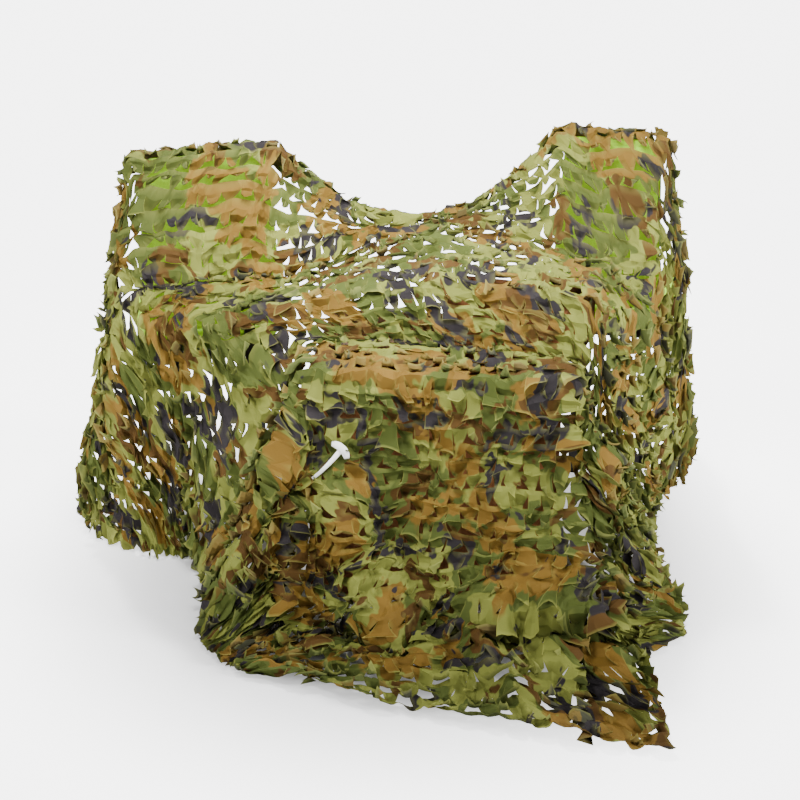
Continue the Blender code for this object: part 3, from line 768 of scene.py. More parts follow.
def bent_leaf(leaf):
    """One leaf in its own axes: curled at its foot, dog-eared, then swung out at its join."""
    length = LEAF_LENGTH * fineness(leaf.y) * random.uniform(*LENGTH_RANGE)
    length *= 1 - GAPE_SHORTER * leaf.gape + SHUT_LONGER * leaf.shut
    grid, rim = flat_leaf(leaf, length)
    for side in (-1, 1):
        if random.random() < EARED:
            turn = -side * random.uniform(*EAR_TURN)
            place = (side * random.uniform(*EAR_ASIDE) * leaf.width, random.uniform(*EAR_DOWN) * length)
            grid = bend(grid, place, turn, random.triangular(*EAR_LEAN), EAR_RADIUS)
    lively = 1.0 + LIVELY * leaf.shut
    place = (0.0, random.uniform(*CURL_DOWN) * length)
    turn = random.uniform(*CURL_TURN)
    grid = bend(grid, place, turn, CURL_LEAST + lively * random.triangular(*CURL_LEAN), CURL_RADIUS)
    grid = roll(grid, leaf.width / 2, lively * random.triangular(*ROLL_LEAN) + GAPE_ROLL * leaf.gape)
    swing = lively * random.triangular(*SWING_LEAN) + leaf.gape * random.uniform(*GAPE_SWING)
    grid = bend(grid, (0.0, SWING_START), random.uniform(*SWING_TURN), swing, SWING_RADIUS)
    return grid, rim


def lay_leaves(leaves):
    """All the leaves on the drape: places, flat coordinates and rims as arrays by leaf."""
    grids, rims = zip(*(bent_leaf(leaf) for leaf in leaves))
    local = np.array(grids)
    origin = np.array([(leaf.x, leaf.y) for leaf in leaves])[:, None, None, :]
    spread = np.array([max(leaf.spread, LEAST_REACH) for leaf in leaves])[:, None, None]
    flat = origin + local[..., :2] * np.stack((np.ones_like(spread), 1 / spread), axis=-1)
    place, _, _, out, loose = lay_on_drape(flat.reshape(-1, 2))
    top = np.maximum(out[:, 2], 0.0)
    calm = 1 - TIE_CALM_SHARE * near_tie(flat.reshape(-1, 2))
    height = local[..., 2].reshape(-1) * (1.0 - LEVEL_CALM * top) * calm
    height = np.where(loose < HELD, np.maximum(height, LOWEST_LEAF), height) + STANDOFF + SHEET / 2
    place = place + out * height[:, None]
    return place.reshape(local.shape), flat, np.array(rims)


def flat_sheet(leaves):
    """The flat cloth between the cuts: its points, faces, the leaves' join lines, and its rims."""
    points, holes = [], []
    for leaf in leaves:
        outline = cut_outline(leaf)
        holes.append(list(range(len(points), len(points) + len(outline))))
        points += outline
    loop = hem_loop()
    hem = list(range(len(points), len(points) + len(loop)))
    points += loop
    edges = list(zip(hem, hem[1:] + hem[:1]))
    points += grain_points(leaves)
    joined = delaunay_2d_cdt([Vector(p) for p in points], edges, holes, 0, WELD)
    flat_points, _, faces, sources, _, face_sources = joined
    flat = np.array([tuple(p) for p in flat_points])
    new_index = {old: new for new, olds in enumerate(sources) for old in olds}
    keep = []
    for face, source in zip(faces, face_sources):
        middle = flat[list(face)].mean(axis=0)
        if not source and within(middle[0], middle[1], 0.0):
            keep.append(tuple(reversed(face)))
    joins = [[new_index[old] for old in hole[:len(ACROSS)]] for hole in holes]
    rims = np.zeros(len(flat))
    for old in [old for hole in holes for old in hole[len(ACROSS):]] + hem:
        rims[new_index[old]] = HOLE_RIM
    return flat, keep, joins, rims.tolist()


def mark_cloth(mesh, uvs, rims):
    """Gives the net its flat coordinates, its pale edges of fraying and painted highlight, and its creases,
    and drops loose points.
    """
    sheet = bmesh.new()
    sheet.from_mesh(mesh)
    uv_layer = sheet.loops.layers.uv.new("flat_cloth")
    rim_layer = sheet.verts.layers.float.new("cut_edge")
    for vert, rim in zip(sheet.verts, rims):
        vert[rim_layer] = rim
    for face in sheet.faces:
        face.smooth = True
        for corner in face.loops:
            corner[uv_layer].uv = uvs[corner.vert.index]
    for edge in sheet.edges:
        edge.smooth = edge.calc_face_angle(0.0) < CREASED
    bmesh.ops.delete(sheet, geom=[v for v in sheet.verts if not v.link_faces], context="VERTS")
    sheet.to_mesh(mesh)
    sheet.free()


def build_net(finish):
    """The whole net: the sheet on the drape, then each leaf grown from its join line."""
    leaves = cut_leaves()
    flat, faces, joins, rims = flat_sheet(leaves)
    place = drape_points(flat)
    spots, uvs = place.tolist(), flat.tolist()
    leaf_places, leaf_flats, leaf_rims = lay_leaves(leaves)
    for n, join in enumerate(joins):
        shift = place[join] - leaf_places[n, 0]
        before = join
        for j, down in enumerate(ALONG[1:], start=1):
            row = leaf_places[n, j] + shift * (1 - down) ** 2
            row[:, 2] = np.clip(row[:, 2], LOWEST, HIGHEST)
            after = list(range(len(spots), len(spots) + len(row)))
            spots += row.tolist()
            uvs += leaf_flats[n, j].tolist()
            rims += leaf_rims[n, j].tolist()
            for i in range(len(row) - 1):
                faces.append((before[i], after[i], after[i + 1], before[i + 1]))
            before = after
    mesh = bpy.data.meshes.new("net_cloth")
    mesh.from_pydata(spots, [], faces)
    mark_cloth(mesh, uvs, rims)
    mesh.materials.append(finish)
    net = new_object("net_cloth", mesh)
    triangles = sum(len(face.vertices) - 2 for face in mesh.polygons)
    print("net:", len(leaves), "leaves,", triangles, "triangles")
    return net


# ---------------------------------------------------------------- chairs
TUBE = 0.025             # side of the square tube
BACK_THICK = 0.028
BACK_BOTTOM = 0.47
BACK_FLARE = 0.04        # how much wider a back is below than above
BACK_CORNER = 0.030
REST_GAP = 0.0003        # between a thing and what it rests on
POST_TOP = 0.79
POST_INSET = 0.045       # from the back's edge to a post
LEG_INSET = 0.01         # from the seat's edge to a front leg
SEAT_WIDTH = 0.34
SEAT_DEPTH = 0.33
SEAT_TOP = 0.455
SEAT_THICK = 0.045
SEAT_CORNER = 0.05
SEAT_BEHIND_POST = 0.001
PIPING = 0.0035          # radius of the piping
GLIDE_HEIGHT = 0.012
SCREW_HEIGHTS = (0.55, 0.74)

CORNER_STEPS = 6         # facets in a pad's round corner
FOOT_CORNER = 0.012      # how far the lower corners of a back are cut off
RIM_STEP = 0.008         # from point to point along a pad's rim
PIPING_SIDES = 8
PIPING_SUNK = 0.9        # share of the piping's radius that is sunk into the pad
MERGE = 1e-5             # points nearer than this are one point

# A screw's head, from its rim to the floor of its slot: radius and height.
SCREW_PROFILE = ((0.0072, 0.0), (0.0070, 0.0012), (0.0055, 0.0026), (0.0030, 0.0033),
                 (0.0026, 0.0018), (0.0, 0.0018))
SCREW_SIDES = 18

FLAT_EDGE = math.radians(2.0)    # edges flatter than this are taken out of the tubes
SHARP_EDGE = math.radians(30.0)  # edges sharper than this are rounded
TUBE_ROUND = 0.002
GLIDE_LIP = 0.002        # how far a glide stands out around its leg
GLIDE_LIFT = 0.0005      # its gap to the floor
CAP_INSET = 0.001        # how far a cap lies in from a post's sides
CAP_REACH = (0.002, 0.004)       # how far it reaches below and above the post's top
CAP_ROUND = 0.0015

Chair = namedtuple("Chair", "name outer inner back_width")
CHAIRS = (
    Chair("chair_left", (-0.568, 0.410), (-0.262, 0.480), 0.290),
    Chair("chair_right", (0.638, 0.580), (0.408, 0.630), 0.225),
)

# From the middle of a pad's face to its edge, then to the middle of the other face:
# share of the outline, and share of half the thickness.
PAD_RINGS = (
    (0.0, 1.0), (0.2, 0.995), (0.4, 0.98), (0.6, 0.95), (0.76, 0.90), (0.86, 0.84), (0.905, 0.76),
    (0.920, 0.62), (0.932, 0.60), (0.945, 0.72), (0.965, 0.68), (0.982, 0.52), (0.994, 0.26), (1.0, 0.0),
)


def new_object(name, data):
    """An object of the scene for a mesh, a lamp or a camera."""
    made = bpy.data.objects.new(name, data)
    bpy.context.scene.collection.objects.link(made)
    return made


def ring_faces(rings, count, closed=False):
    """Quads between rings of points; closed joins the last ring to the first."""
    faces = []
    for ring in range(rings if closed else rings - 1):
        here, there = ring * count, (ring + 1) % rings * count
        for k in range(count):
            m = (k + 1) % count
            faces.append((here + k, there + k, there + m, here + m))
    return faces


def grid_faces(columns, rows):
    """Quads of a grid whose points run along its rows."""
    faces = []
    for j in range(rows):
        for i in range(columns):
            first = j * (columns + 1) + i
            faces.append((first, first + 1, first + columns + 2, first + columns + 1))
    return faces


def turned(faces):
    """The same quads seen from their other side."""
    return [(a, d, c, b) for a, b, c, d in faces]


def new_piece(name, points, faces, finish, place, uvs=None, smooth=True):
    """A mesh piece from local points, set in its place, that rides on the one body."""
    mesh = bpy.data.meshes.new(name)
    mesh.from_pydata([place @ Vector(point) for point in points], [], faces)
    if uvs:
        layer = mesh.uv_layers.new(name="plan")
        for loop in mesh.loops:
            layer.data[loop.index].uv = uvs[loop.vertex_index]
    for polygon in mesh.polygons:
        polygon.use_smooth = smooth
    mesh.materials.append(finish)
    piece = new_object(name, mesh)
    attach(piece, "root")
    return piece


def evenly(outline, step):
    """A closed outline with points about a step apart, its own points kept."""
    points = []
    for start, end in zip(outline, outline[1:] + outline[:1]):
        run = math.dist(start, end)
        count = max(int(round(run / step)), 1)
        points += [(mix(start[0], end[0], i / count), mix(start[1], end[1], i / count))
                   for i in range(count)]
    return points


def back_outline(width):
    """The chair back's pad, seen from its front: round top corners, wider below."""
    top, half = CHAIR_TOP - REST_GAP, width / 2
    low = half + BACK_FLARE / 2
    points = [(-low + FOOT_CORNER, BACK_BOTTOM), (low - FOOT_CORNER, BACK_BOTTOM),
              (low, BACK_BOTTOM + FOOT_CORNER)]
    for side in (1, -1):
        for step in range(CORNER_STEPS + 1):
            share = step / CORNER_STEPS
            angle = math.pi / 2 * (share if side > 0 else 1 - share)
            points.append((side * (half - BACK_CORNER + BACK_CORNER * math.cos(angle)),
                           top - BACK_CORNER + BACK_CORNER * math.sin(angle)))
    return points + [(-low, BACK_BOTTOM + FOOT_CORNER)]


def seat_outline():
    """The seat's pad, seen from above: a rectangle with round corners."""
    middle = BACK_THICK / 2 + 2 * REST_GAP + TUBE + SEAT_BEHIND_POST + SEAT_DEPTH / 2
    points = []
    for corner, (sx, sy) in enumerate(((1, 1), (-1, 1), (-1, -1), (1, -1))):
        for step in range(CORNER_STEPS + 1):
            angle = math.pi / 2 * (corner + step / CORNER_STEPS)
            points.append((sx * (SEAT_WIDTH / 2 - SEAT_CORNER) + SEAT_CORNER * math.cos(angle),
                           middle + sy * (SEAT_DEPTH / 2 - SEAT_CORNER) + SEAT_CORNER * math.sin(angle)))
    return points


def build_pad(name, outline, thick, lay, finish, place, node):
    """A crowned pad with a sewn line near its edge; lay turns (a, b, height) into local axes."""
    rim = evenly(outline, RIM_STEP)
    middle = (sum(p[0] for p in rim) / len(rim), sum(p[1] for p in rim) / len(rim))
    rings = list(PAD_RINGS) + [(share, -height) for share, height in reversed(PAD_RINGS[:-1])]
    points, uvs = [], []
    for share, height in rings:
        for a, b in rim:
            plan = (mix(middle[0], a, share), mix(middle[1], b, share))
            points.append(lay(*plan, height * thick / 2))
            uvs.append(plan)
    pad = new_piece(name, points, ring_faces(len(rings), len(rim)), finish, place, uvs)
    merge_points(pad)
    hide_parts(node)


def merge_points(piece):
    """Joins points that coincide, drops faces of no size and turns the rest outward."""
    mended = bmesh.new()
    mended.from_mesh(piece.data)
    bmesh.ops.remove_doubles(mended, verts=mended.verts, dist=MERGE)
    bmesh.ops.recalc_face_normals(mended, faces=mended.faces)
    mended.to_mesh(piece.data)
    mended.free()


def build_piping(name, outline, lay, finish, place):
    """The round cord sewn into a pad's edge, half its thickness up."""
    rim = evenly(outline, RIM_STEP)
    points = []
    for i, (a, b) in enumerate(rim):
        before, after = rim[i - 1], rim[(i + 1) % len(rim)]
        run = Vector((after[0] - before[0], after[1] - before[1])).normalized()
        for k in range(PIPING_SIDES):
            angle = 2 * math.pi * k / PIPING_SIDES
            out = PIPING * (math.cos(angle) - PIPING_SUNK)
            points.append(lay(a + run.y * out, b - run.x * out, PIPING * math.sin(angle)))
    faces = ring_faces(len(rim), PIPING_SIDES, closed=True)
    piping = new_piece(name, points, faces, finish, place)
    merge_points(piping)


def build_block(name, low, high, finish, place, bevel):
    """A small solid block with rounded edges."""
    made = bmesh.new()
    bmesh.ops.create_cube(made, size=1.0)
    for vert in made.verts:
        vert.co = Vector(mix(low[i], high[i], vert.co[i] + 0.5) for i in range(3))
    bmesh.ops.bevel(made, geom=made.edges[:], offset=bevel, segments=3, affect="EDGES", profile=0.5)
    points = [vert.co.copy() for vert in made.verts]
    faces = [[vert.index for vert in face.verts] for face in made.faces]
    made.free()
    piece = new_piece(name, points, faces, finish, place)
    merge_points(piece)


def build_screw(name, centre, finish, place):
    """A round-headed screw on the rear face of a post, with a slot for a driver."""
    points = []
    for radius, height in SCREW_PROFILE:
        for k in range(SCREW_SIDES):
            angle = 2 * math.pi * k / SCREW_SIDES
            points.append((centre[0] + radius * math.cos(angle), centre[1] + height,
                           centre[2] + radius * math.sin(angle)))
    faces = ring_faces(len(SCREW_PROFILE), SCREW_SIDES)
    screw = new_piece(name, points, faces, finish, place)
    merge_points(screw)


def build_frame(chair, place, finish, steel, rubber):
    """The tube frame: the node's own shape with its edges rounded, its glides, caps and screws."""
    node = f"{chair.name}_frame"
    shaped = bmesh.new()
    shaped.from_mesh(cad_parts[node].data)
    bmesh.ops.remove_doubles(shaped, verts=shaped.verts, dist=MERGE)
    bmesh.ops.dissolve_limit(shaped, angle_limit=FLAT_EDGE, verts=shaped.verts, edges=shaped.edges)
    sharp = [edge for edge in shaped.edges if edge.calc_face_angle(0.0) > SHARP_EDGE]
    bmesh.ops.bevel(shaped, geom=sharp, offset=TUBE_ROUND, offset_type="OFFSET", segments=3,
                    affect="EDGES", profile=0.5, clamp_overlap=True)
    mesh = bpy.data.meshes.new(f"{node}_tubes")
    shaped.to_mesh(mesh)
    shaped.free()
    mesh.materials.append(finish)
    tubes = new_object(f"{node}_tubes", mesh)
    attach(tubes, "root")
    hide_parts(node)
    rear = BACK_THICK / 2 + REST_GAP
    front = rear + TUBE + SEAT_DEPTH
    half = SEAT_WIDTH / 2 - LEG_INSET
    post = chair.back_width / 2 - POST_INSET
    feet = ((-post, rear), (post - TUBE, rear), (-half, front - TUBE), (half - TUBE, front - TUBE))
    for index, (x, y) in enumerate(feet):
        low = (x - GLIDE_LIP, y - GLIDE_LIP, GLIDE_LIFT)
        high = (x + TUBE + GLIDE_LIP, y + TUBE + GLIDE_LIP, GLIDE_HEIGHT)
        build_block(f"{chair.name}_glide_{index}", low, high, rubber, place, TUBE_ROUND)
    for index, (x, y) in enumerate(feet[:2]):
        low = (x + CAP_INSET, y + CAP_INSET, POST_TOP - CAP_REACH[0])
        high = (x + TUBE - CAP_INSET, y + TUBE - CAP_INSET, POST_TOP + CAP_REACH[1])
        build_block(f"{chair.name}_cap_{index}", low, high, rubber, place, CAP_ROUND)
        for level, height in enumerate(SCREW_HEIGHTS):
            centre = (x + TUBE / 2, y + TUBE, height)
            build_screw(f"{chair.name}_screw_{index}_{level}", centre, steel, place)


def build_chair(chair, lime, trim, black, steel, rubber):
    """One chair: its two pads with piping, and its frame."""
    left, right = sorted((Vector(chair.outer), Vector(chair.inner)), key=lambda point: point.x)
    run = right - left
    middle = (left + right) / 2
    place = (Matrix.Translation((middle.x, middle.y, 0.0))
             @ Matrix.Rotation(math.atan2(run.y, run.x), 4, "Z"))

    def upright(a, b, height):
        return a, -height, b

    def level(a, b, height):
        return a, b, height + SEAT_TOP - SEAT_THICK / 2

    back, seat = back_outline(chair.back_width), seat_outline()
    build_pad(f"{chair.name}_back_pad", back, BACK_THICK, upright, lime, place, f"{chair.name}_back")
    build_piping(f"{chair.name}_back_piping", back, upright, trim, place)
    build_pad(f"{chair.name}_seat_pad", seat, SEAT_THICK, level, lime, place, f"{chair.name}_seat")
    build_piping(f"{chair.name}_seat_piping", seat, level, trim, place)
    build_frame(chair, place, black, steel, rubber)


# ---------------------------------------------------------------- cartons
BOARD = 0.004            # thickness of the carton's board
FLAP_GAP = 0.0016        # between two flaps where they meet
TAPE_WIDTH = 0.050
TAPE_THICK = 0.00015
TAPE_DROP = 0.055        # how far the tape runs down each end
PANEL_CELLS = (24, 20)   # grid of one face of a carton
BOARD_BOW = 0.0016       # how far a face bows in
DENT = 0.0012
DENT_WAVES = 9.0
CARTON_ROUND = 0.0025
CARTON_EDGE = math.radians(50.0)         # edges sharper than this are rounded
FLAP_INSET = 0.0006      # how far the flaps lie in from the walls
FLAP_LIFT = 0.0002
FLAP_ROUND = 0.0012
LAP_ACROSS = (0.002, 0.036)      # where the glued lap starts and ends on the rear wall
LAP_OUT = (0.0004, 0.0012)       # how far it is let in and stands out
LAP_ENDS = (0.004, 0.003)        # how far it stops short of the wall's foot and top
LAP_ROUND = 0.0005
TAPE_BEND = ((-0.0010, 0.004), (0.0004, 0.0006), (0.004, 0.0))   # over an edge: in, and down
TAPE_CELLS = 20
TAPE_TEETH = 0.0022

Carton = namedtuple("Carton", "node corner turn width depth low high")
CARTONS = (
    Carton("carton_large", (-0.175, 0.010, 0.0), -6.0, 0.530, 0.400, 0.0, CARTON_TOP - REST_GAP),
    Carton("carton_small", (0.118, 0.199, 0.0), -19.0, 0.300, 0.150, CARTON_TOP, 0.6344),
)


def board_panel(corner, across, up, out, cells):
    """One face of a carton: a grid of cells, a little bowed and dented."""
    points, plan = [], []
    columns, rows = cells
    for j in range(rows + 1):
        for i in range(columns + 1):
            u, v = i / columns, j / rows
            point = corner + across * u + up * v
            bow = 16 * u * (1 - u) * v * (1 - v)
            dent = noise.noise(point * DENT_WAVES) * DENT * min(bow, 1.0)
            points.append(point + out * (-BOARD_BOW * bow + dent))
            plan.append((u * across.length, v * up.length))
    return points, grid_faces(columns, rows), plan


def build_carton(carton, card, tape):
    """Four walls with rounded corners, two top flaps that meet, and tape along where they meet."""
    place = Matrix.Translation(carton.corner) @ Matrix.Rotation(math.radians(carton.turn), 4, "Z")
    wide, deep, low, high = carton.width, carton.depth, carton.low, carton.high
    walls_top = high - BOARD
    x, y, z = Vector((1, 0, 0)), Vector((0, 1, 0)), Vector((0, 0, 1))
    rise = z * (walls_top - low)
    sides = ((Vector((0, 0, low)), x * wide, -y), (Vector((wide, 0, low)), y * deep, x),
             (Vector((wide, deep, low)), -x * wide, y), (Vector((0, deep, low)), -y * deep, -x))
    points, faces, plans = [], [], []
    for corner, across, out in sides:
        more, more_faces, more_plan = board_panel(corner, across, rise, out, PANEL_CELLS)
        faces += [[index + len(points) for index in face] for face in more_faces]
        points += more
        plans += more_plan
    for level, around in ((walls_top, 1), (low, -1)):
        first = len(points)
        lid = [(0, 0, level), (wide, 0, level), (wide, deep, level), (0, deep, level)]
        points += lid
        plans += [corner[:2] for corner in lid]
        faces.append([first, first + 1, first + 2, first + 3][::around])
    body = new_piece(f"{carton.node}_walls", points, faces, card, place, plans, smooth=False)
    merge_points(body)
    round_edges(body)
    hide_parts(carton.node)
    middle = deep / 2
    flaps = (("front", FLAP_INSET, middle - FLAP_GAP / 2),
             ("rear", middle + FLAP_GAP / 2, deep - FLAP_INSET))
    for name, y_low, y_high in flaps:
        start = (FLAP_INSET, y_low, walls_top + FLAP_LIFT)
        end = (wide - FLAP_INSET, y_high, high - 2 * TAPE_THICK)
        build_block(f"{carton.node}_flap_{name}", start, end, card, place, FLAP_ROUND)
    start = (LAP_ACROSS[0], deep - LAP_OUT[0], low + LAP_ENDS[0])
    end = (LAP_ACROSS[1], deep + LAP_OUT[1], walls_top - LAP_ENDS[1])
    build_block(f"{carton.node}_lap", start, end, card, place, LAP_ROUND)
    build_tape(carton, tape, place, middle)


def build_tape(carton, tape, place, middle):
    """One strip of tape over the top and a little down each end, its ends torn on small teeth."""
    top = carton.high - TAPE_THICK / 2
    path = [(TAPE_BEND[0][0], carton.high - TAPE_DROP)] + [(a, top - down) for a, down in TAPE_BEND]
    path += [(carton.width - a, b) for a, b in reversed(path)]
    points = []
    for index, (a, b) in enumerate(path):
        for k in range(TAPE_CELLS + 1):
            tooth = TAPE_TEETH * (k % 2) if index in (0, len(path) - 1) else 0.0
            points.append((a, middle + (k / TAPE_CELLS - 0.5) * TAPE_WIDTH, b + tooth))
    faces = turned(grid_faces(TAPE_CELLS, len(path) - 1))
    strip = new_piece(f"{carton.node}_tape", points, faces, tape, place, smooth=False)


def round_edges(piece):
    """Rounds the sharp edges of a carton's walls."""
    shaped = bmesh.new()
    shaped.from_mesh(piece.data)
    sharp = [edge for edge in shaped.edges if edge.calc_face_angle(0.0) > CARTON_EDGE]
    bmesh.ops.bevel(shaped, geom=sharp, offset=CARTON_ROUND, segments=3, affect="EDGES", profile=0.5)
    for face in shaped.faces:
        face.smooth = True
    shaped.to_mesh(piece.data)
    shaped.free()


# ---------------------------------------------------------------- the tie
TIE_LENGTH = 0.100
TIE_LEAN = math.radians(-44.0)
TIE_PLACE = (14.2, 20.0)          # column and row of its head
TIE_OFF = 0.022                   # how far it lies off the drape, on the leaves
TIE_TAIL = 0.012                  # width of the tail where it leaves the head
TIE_TIP = 0.0065
TIE_BAR = 0.044                   # length of the cross bar that makes the head
TIE_BAR_WIDTH = 0.017
TIE_THICK = 0.0022
TIE_MIDDLE = (-0.03, 0.03)        # from its head to its middle on the flat cloth
TIE_CALM = 0.050                  # leaves lie flat within about this distance of its middle
TIE_CALM_SHARE = 0.8              # and lose this share of their height there
TIE_STEPS = 16
TIE_ASIDE = (0.004, 2.6)          # how far the tail sways aside, and its turns in radians
TIE_OUT = (0.005, 3.0)            # and off the net
TIE_TAPER = 0.8                   # how soon the tail narrows
TIE_BLUNT = 0.72                  # its last width, as a share of its tip
BAR_PLACE = (0.002, 0.009)        # the bar's middle down the tail, and how far its ends bend on
BAR_OUT = 0.004                   # how far its middle stands out
BAR_TAPER = 0.35                  # share of its width that its ends lose
BAR_FOLDS = 1.4                   # how much thicker it is than the tail

# A tape across: shares of its half width and half thickness.
BAND_SECTION = ((-1.0, 0.0), (-0.86, 0.8), (0.0, 1.0), (0.86, 0.8), (1.0, 0.0), (0.86, -0.8),
                (0.0, -1.0), (-0.86, -0.8))


def tie_frame():
    """The head's place on the drape, and the directions down the tail, aside and outward."""
    cell = np.array([TIE_PLACE[0] * TABLE_STEPS]), np.array([TIE_PLACE[1] * TABLE_STEPS])
    head = Vector(sample(PLACE, *cell)[0])
    outward_here = Vector(sample(OUT, *cell)[0]).normalized()
    level = Vector((0, 0, 1)).cross(outward_here).normalized()
    upward = outward_here.cross(level).normalized()
    turn = Matrix.Rotation(TIE_LEAN, 3, outward_here)
    return head, turn @ -upward, turn @ level, outward_here


def band(spine, widths, thick):
    """A flat band along a spine of (along, aside, out) points, with rounded long edges."""
    points = []
    for index, (spot, width) in enumerate(zip(spine, widths)):
        before, after = spine[max(index - 1, 0)], spine[min(index + 1, len(spine) - 1)]
        run = (after - before).normalized()
        aside = run.cross(Vector((0, 0, 1))).normalized()
        lift = aside.cross(run)
        points += [spot + aside * (a * width / 2) + lift * (b * thick / 2) for a, b in BAND_SECTION]
    count = len(BAND_SECTION)
    faces = turned(ring_faces(len(spine), count))
    last = (len(spine) - 1) * count
    faces.append(tuple(range(count))[::-1])
    faces.append(tuple(range(last, last + count)))
    return points, faces


def build_tie(finish):
    """A white tie: a bowed cross bar for a head, and a tapered tail that hangs free."""
    head, down, aside, outward_here = tie_frame()
    shares = [i / TIE_STEPS for i in range(TIE_STEPS + 1)]
    tail = [Vector((TIE_LENGTH * i / TIE_STEPS, TIE_ASIDE[0] * math.sin(TIE_ASIDE[1] * i / TIE_STEPS),
                    TIE_OUT[0] * math.sin(TIE_OUT[1] * i / TIE_STEPS))) for i in range(TIE_STEPS + 1)]
    tail_widths = [mix(TIE_TAIL, TIE_TIP, share ** TIE_TAPER) for share in shares]
    tail_widths[-1] *= TIE_BLUNT
    bar = [Vector((BAR_PLACE[0] + BAR_PLACE[1] * (2 * i / TIE_STEPS - 1) ** 2,
                   TIE_BAR * (i / TIE_STEPS - 0.5), BAR_OUT - BAR_OUT * (2 * i / TIE_STEPS - 1) ** 2))
           for i in range(TIE_STEPS + 1)]
    bar_widths = [TIE_BAR_WIDTH * (1 - BAR_TAPER * abs(2 * share - 1) ** 3) for share in shares]
    points, faces = band(tail, tail_widths, TIE_THICK)
    bar_points, bar_faces = band(bar, bar_widths, TIE_THICK * BAR_FOLDS)
    faces += [[index + len(points) for index in face] for face in bar_faces]
    points += bar_points
    axes = Matrix((down, aside, outward_here)).transposed().to_4x4()
    place = Matrix.Translation(head + outward_here * TIE_OFF) @ axes
    tie = new_piece("tie_strap", points, faces, finish, place)
    merge_points(tie)
    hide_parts("tie")


# ---------------------------------------------------------------- finishes
def new_material(name):
    """A new material, its node tree and its shader."""
    made = bpy.data.materials.new(name)
    made.use_nodes = True
    return made, made.node_tree, made.node_tree.nodes["Principled BSDF"]


def add(tree, kind, **inputs):
    """A node with some of its inputs set by name."""
    node = tree.nodes.new(kind)
    for name, value in inputs.items():
        node.inputs[name.replace("_", " ")].default_value = value
    return node


def blend(tree, factor, first, second):
    """A colour mix; factor, first and second are sockets or values."""
    node = tree.nodes.new("ShaderNodeMix")
    node.data_type = "RGBA"
    for socket, value in ((0, factor), (6, first), (7, second)):
        if isinstance(value, bpy.types.NodeSocket):
            tree.links.new(value, node.inputs[socket])
        else:
            node.inputs[socket].default_value = value
    return node.outputs[2]


def sums(tree, operation, first, second):
    """A sum of two sockets or values."""
    node = tree.nodes.new("ShaderNodeMath")
    node.operation = operation
    for socket, value in enumerate((first, second)):
        if isinstance(value, bpy.types.NodeSocket):
            tree.links.new(value, node.inputs[socket])
        else:
            node.inputs[socket].default_value = value
    return node.outputs[0]


def group(name, inputs, outputs):
    """An empty node group with named sockets: inputs are (name, kind, default)."""
    made = bpy.data.node_groups.new(name, "ShaderNodeTree")
    for label, kind, default in inputs:
        socket = made.interface.new_socket(label, in_out="INPUT", socket_type=kind)
        if default is not None:
            socket.default_value = default
    for label, kind in outputs:
        made.interface.new_socket(label, in_out="OUTPUT", socket_type=kind)
    return made, made.nodes.new("NodeGroupInput"), made.nodes.new("NodeGroupOutput")


def printed_blotch():
    """One colour of a print: hard-edged blotches of a size, covering a share of the cloth."""
    made, start, end = group(
        "printed_blotch",
        [("Vector", "NodeSocketVector", None), ("Size", "NodeSocketFloat", 6.0),
         ("Cover", "NodeSocketFloat", 0.5), ("Ragged", "NodeSocketFloat", 0.4),
         ("Place", "NodeSocketFloat", 0.0)],
        [("Mask", "NodeSocketFloat")])
    wobble = add(made, "ShaderNodeTexNoise", Scale=22.0, Detail=2.0)
    made.links.new(start.outputs["Vector"], wobble.inputs["Vector"])
    centred = add(made, "ShaderNodeVectorMath")
    centred.operation = "SUBTRACT"
    centred.inputs[1].default_value = (0.5, 0.5, 0.5)
    made.links.new(wobble.outputs["Color"], centred.inputs[0])
    scaled = add(made, "ShaderNodeVectorMath")
    scaled.operation = "SCALE"
    made.links.new(centred.outputs[0], scaled.inputs[0])
    made.links.new(sums(made, "MULTIPLY", start.outputs["Ragged"], 0.06), scaled.inputs["Scale"])
    moved = add(made, "ShaderNodeVectorMath")
    made.links.new(start.outputs["Vector"], moved.inputs[0])
    made.links.new(scaled.outputs[0], moved.inputs[1])
    placed = add(made, "ShaderNodeCombineXYZ")
    made.links.new(start.outputs["Place"], placed.inputs["Z"])
    offset = add(made, "ShaderNodeVectorMath")
    made.links.new(moved.outputs[0], offset.inputs[0])
    made.links.new(placed.outputs[0], offset.inputs[1])
    field = add(made, "ShaderNodeTexNoise", Detail=1.5, Roughness=0.45)
    made.links.new(offset.outputs[0], field.inputs["Vector"])
    made.links.new(start.outputs["Size"], field.inputs["Scale"])
    over = sums(made, "SUBTRACT", field.outputs["Fac"], sums(made, "SUBTRACT", 1.0, start.outputs["Cover"]))
    hard = add(made, "ShaderNodeMapRange")
    hard.inputs["From Min"].default_value = -0.006
    hard.inputs["From Max"].default_value = 0.006
    made.links.new(over, hard.inputs["Value"])
    made.links.new(hard.outputs["Result"], end.inputs["Mask"])
    return made


def plain_weave():
    """Over and under threads: a height that alternates in two directions."""
    made, start, end = group(
        "plain_weave",
        [("Vector", "NodeSocketVector", None), ("Threads", "NodeSocketFloat", 1200.0)],
        [("Height", "NodeSocketFloat")])
    scaled = add(made, "ShaderNodeVectorMath")
    scaled.operation = "SCALE"
    made.links.new(start.outputs["Vector"], scaled.inputs[0])
    made.links.new(start.outputs["Threads"], scaled.inputs["Scale"])
    parts = add(made, "ShaderNodeSeparateXYZ")
    made.links.new(scaled.outputs[0], parts.inputs[0])
    wave_x = sums(made, "SINE", parts.outputs["X"], 0.0)
    wave_y = sums(made, "SINE", parts.outputs["Y"], 0.0)
    made.links.new(sums(made, "MULTIPLY", wave_x, wave_y), end.inputs["Height"])
    return made


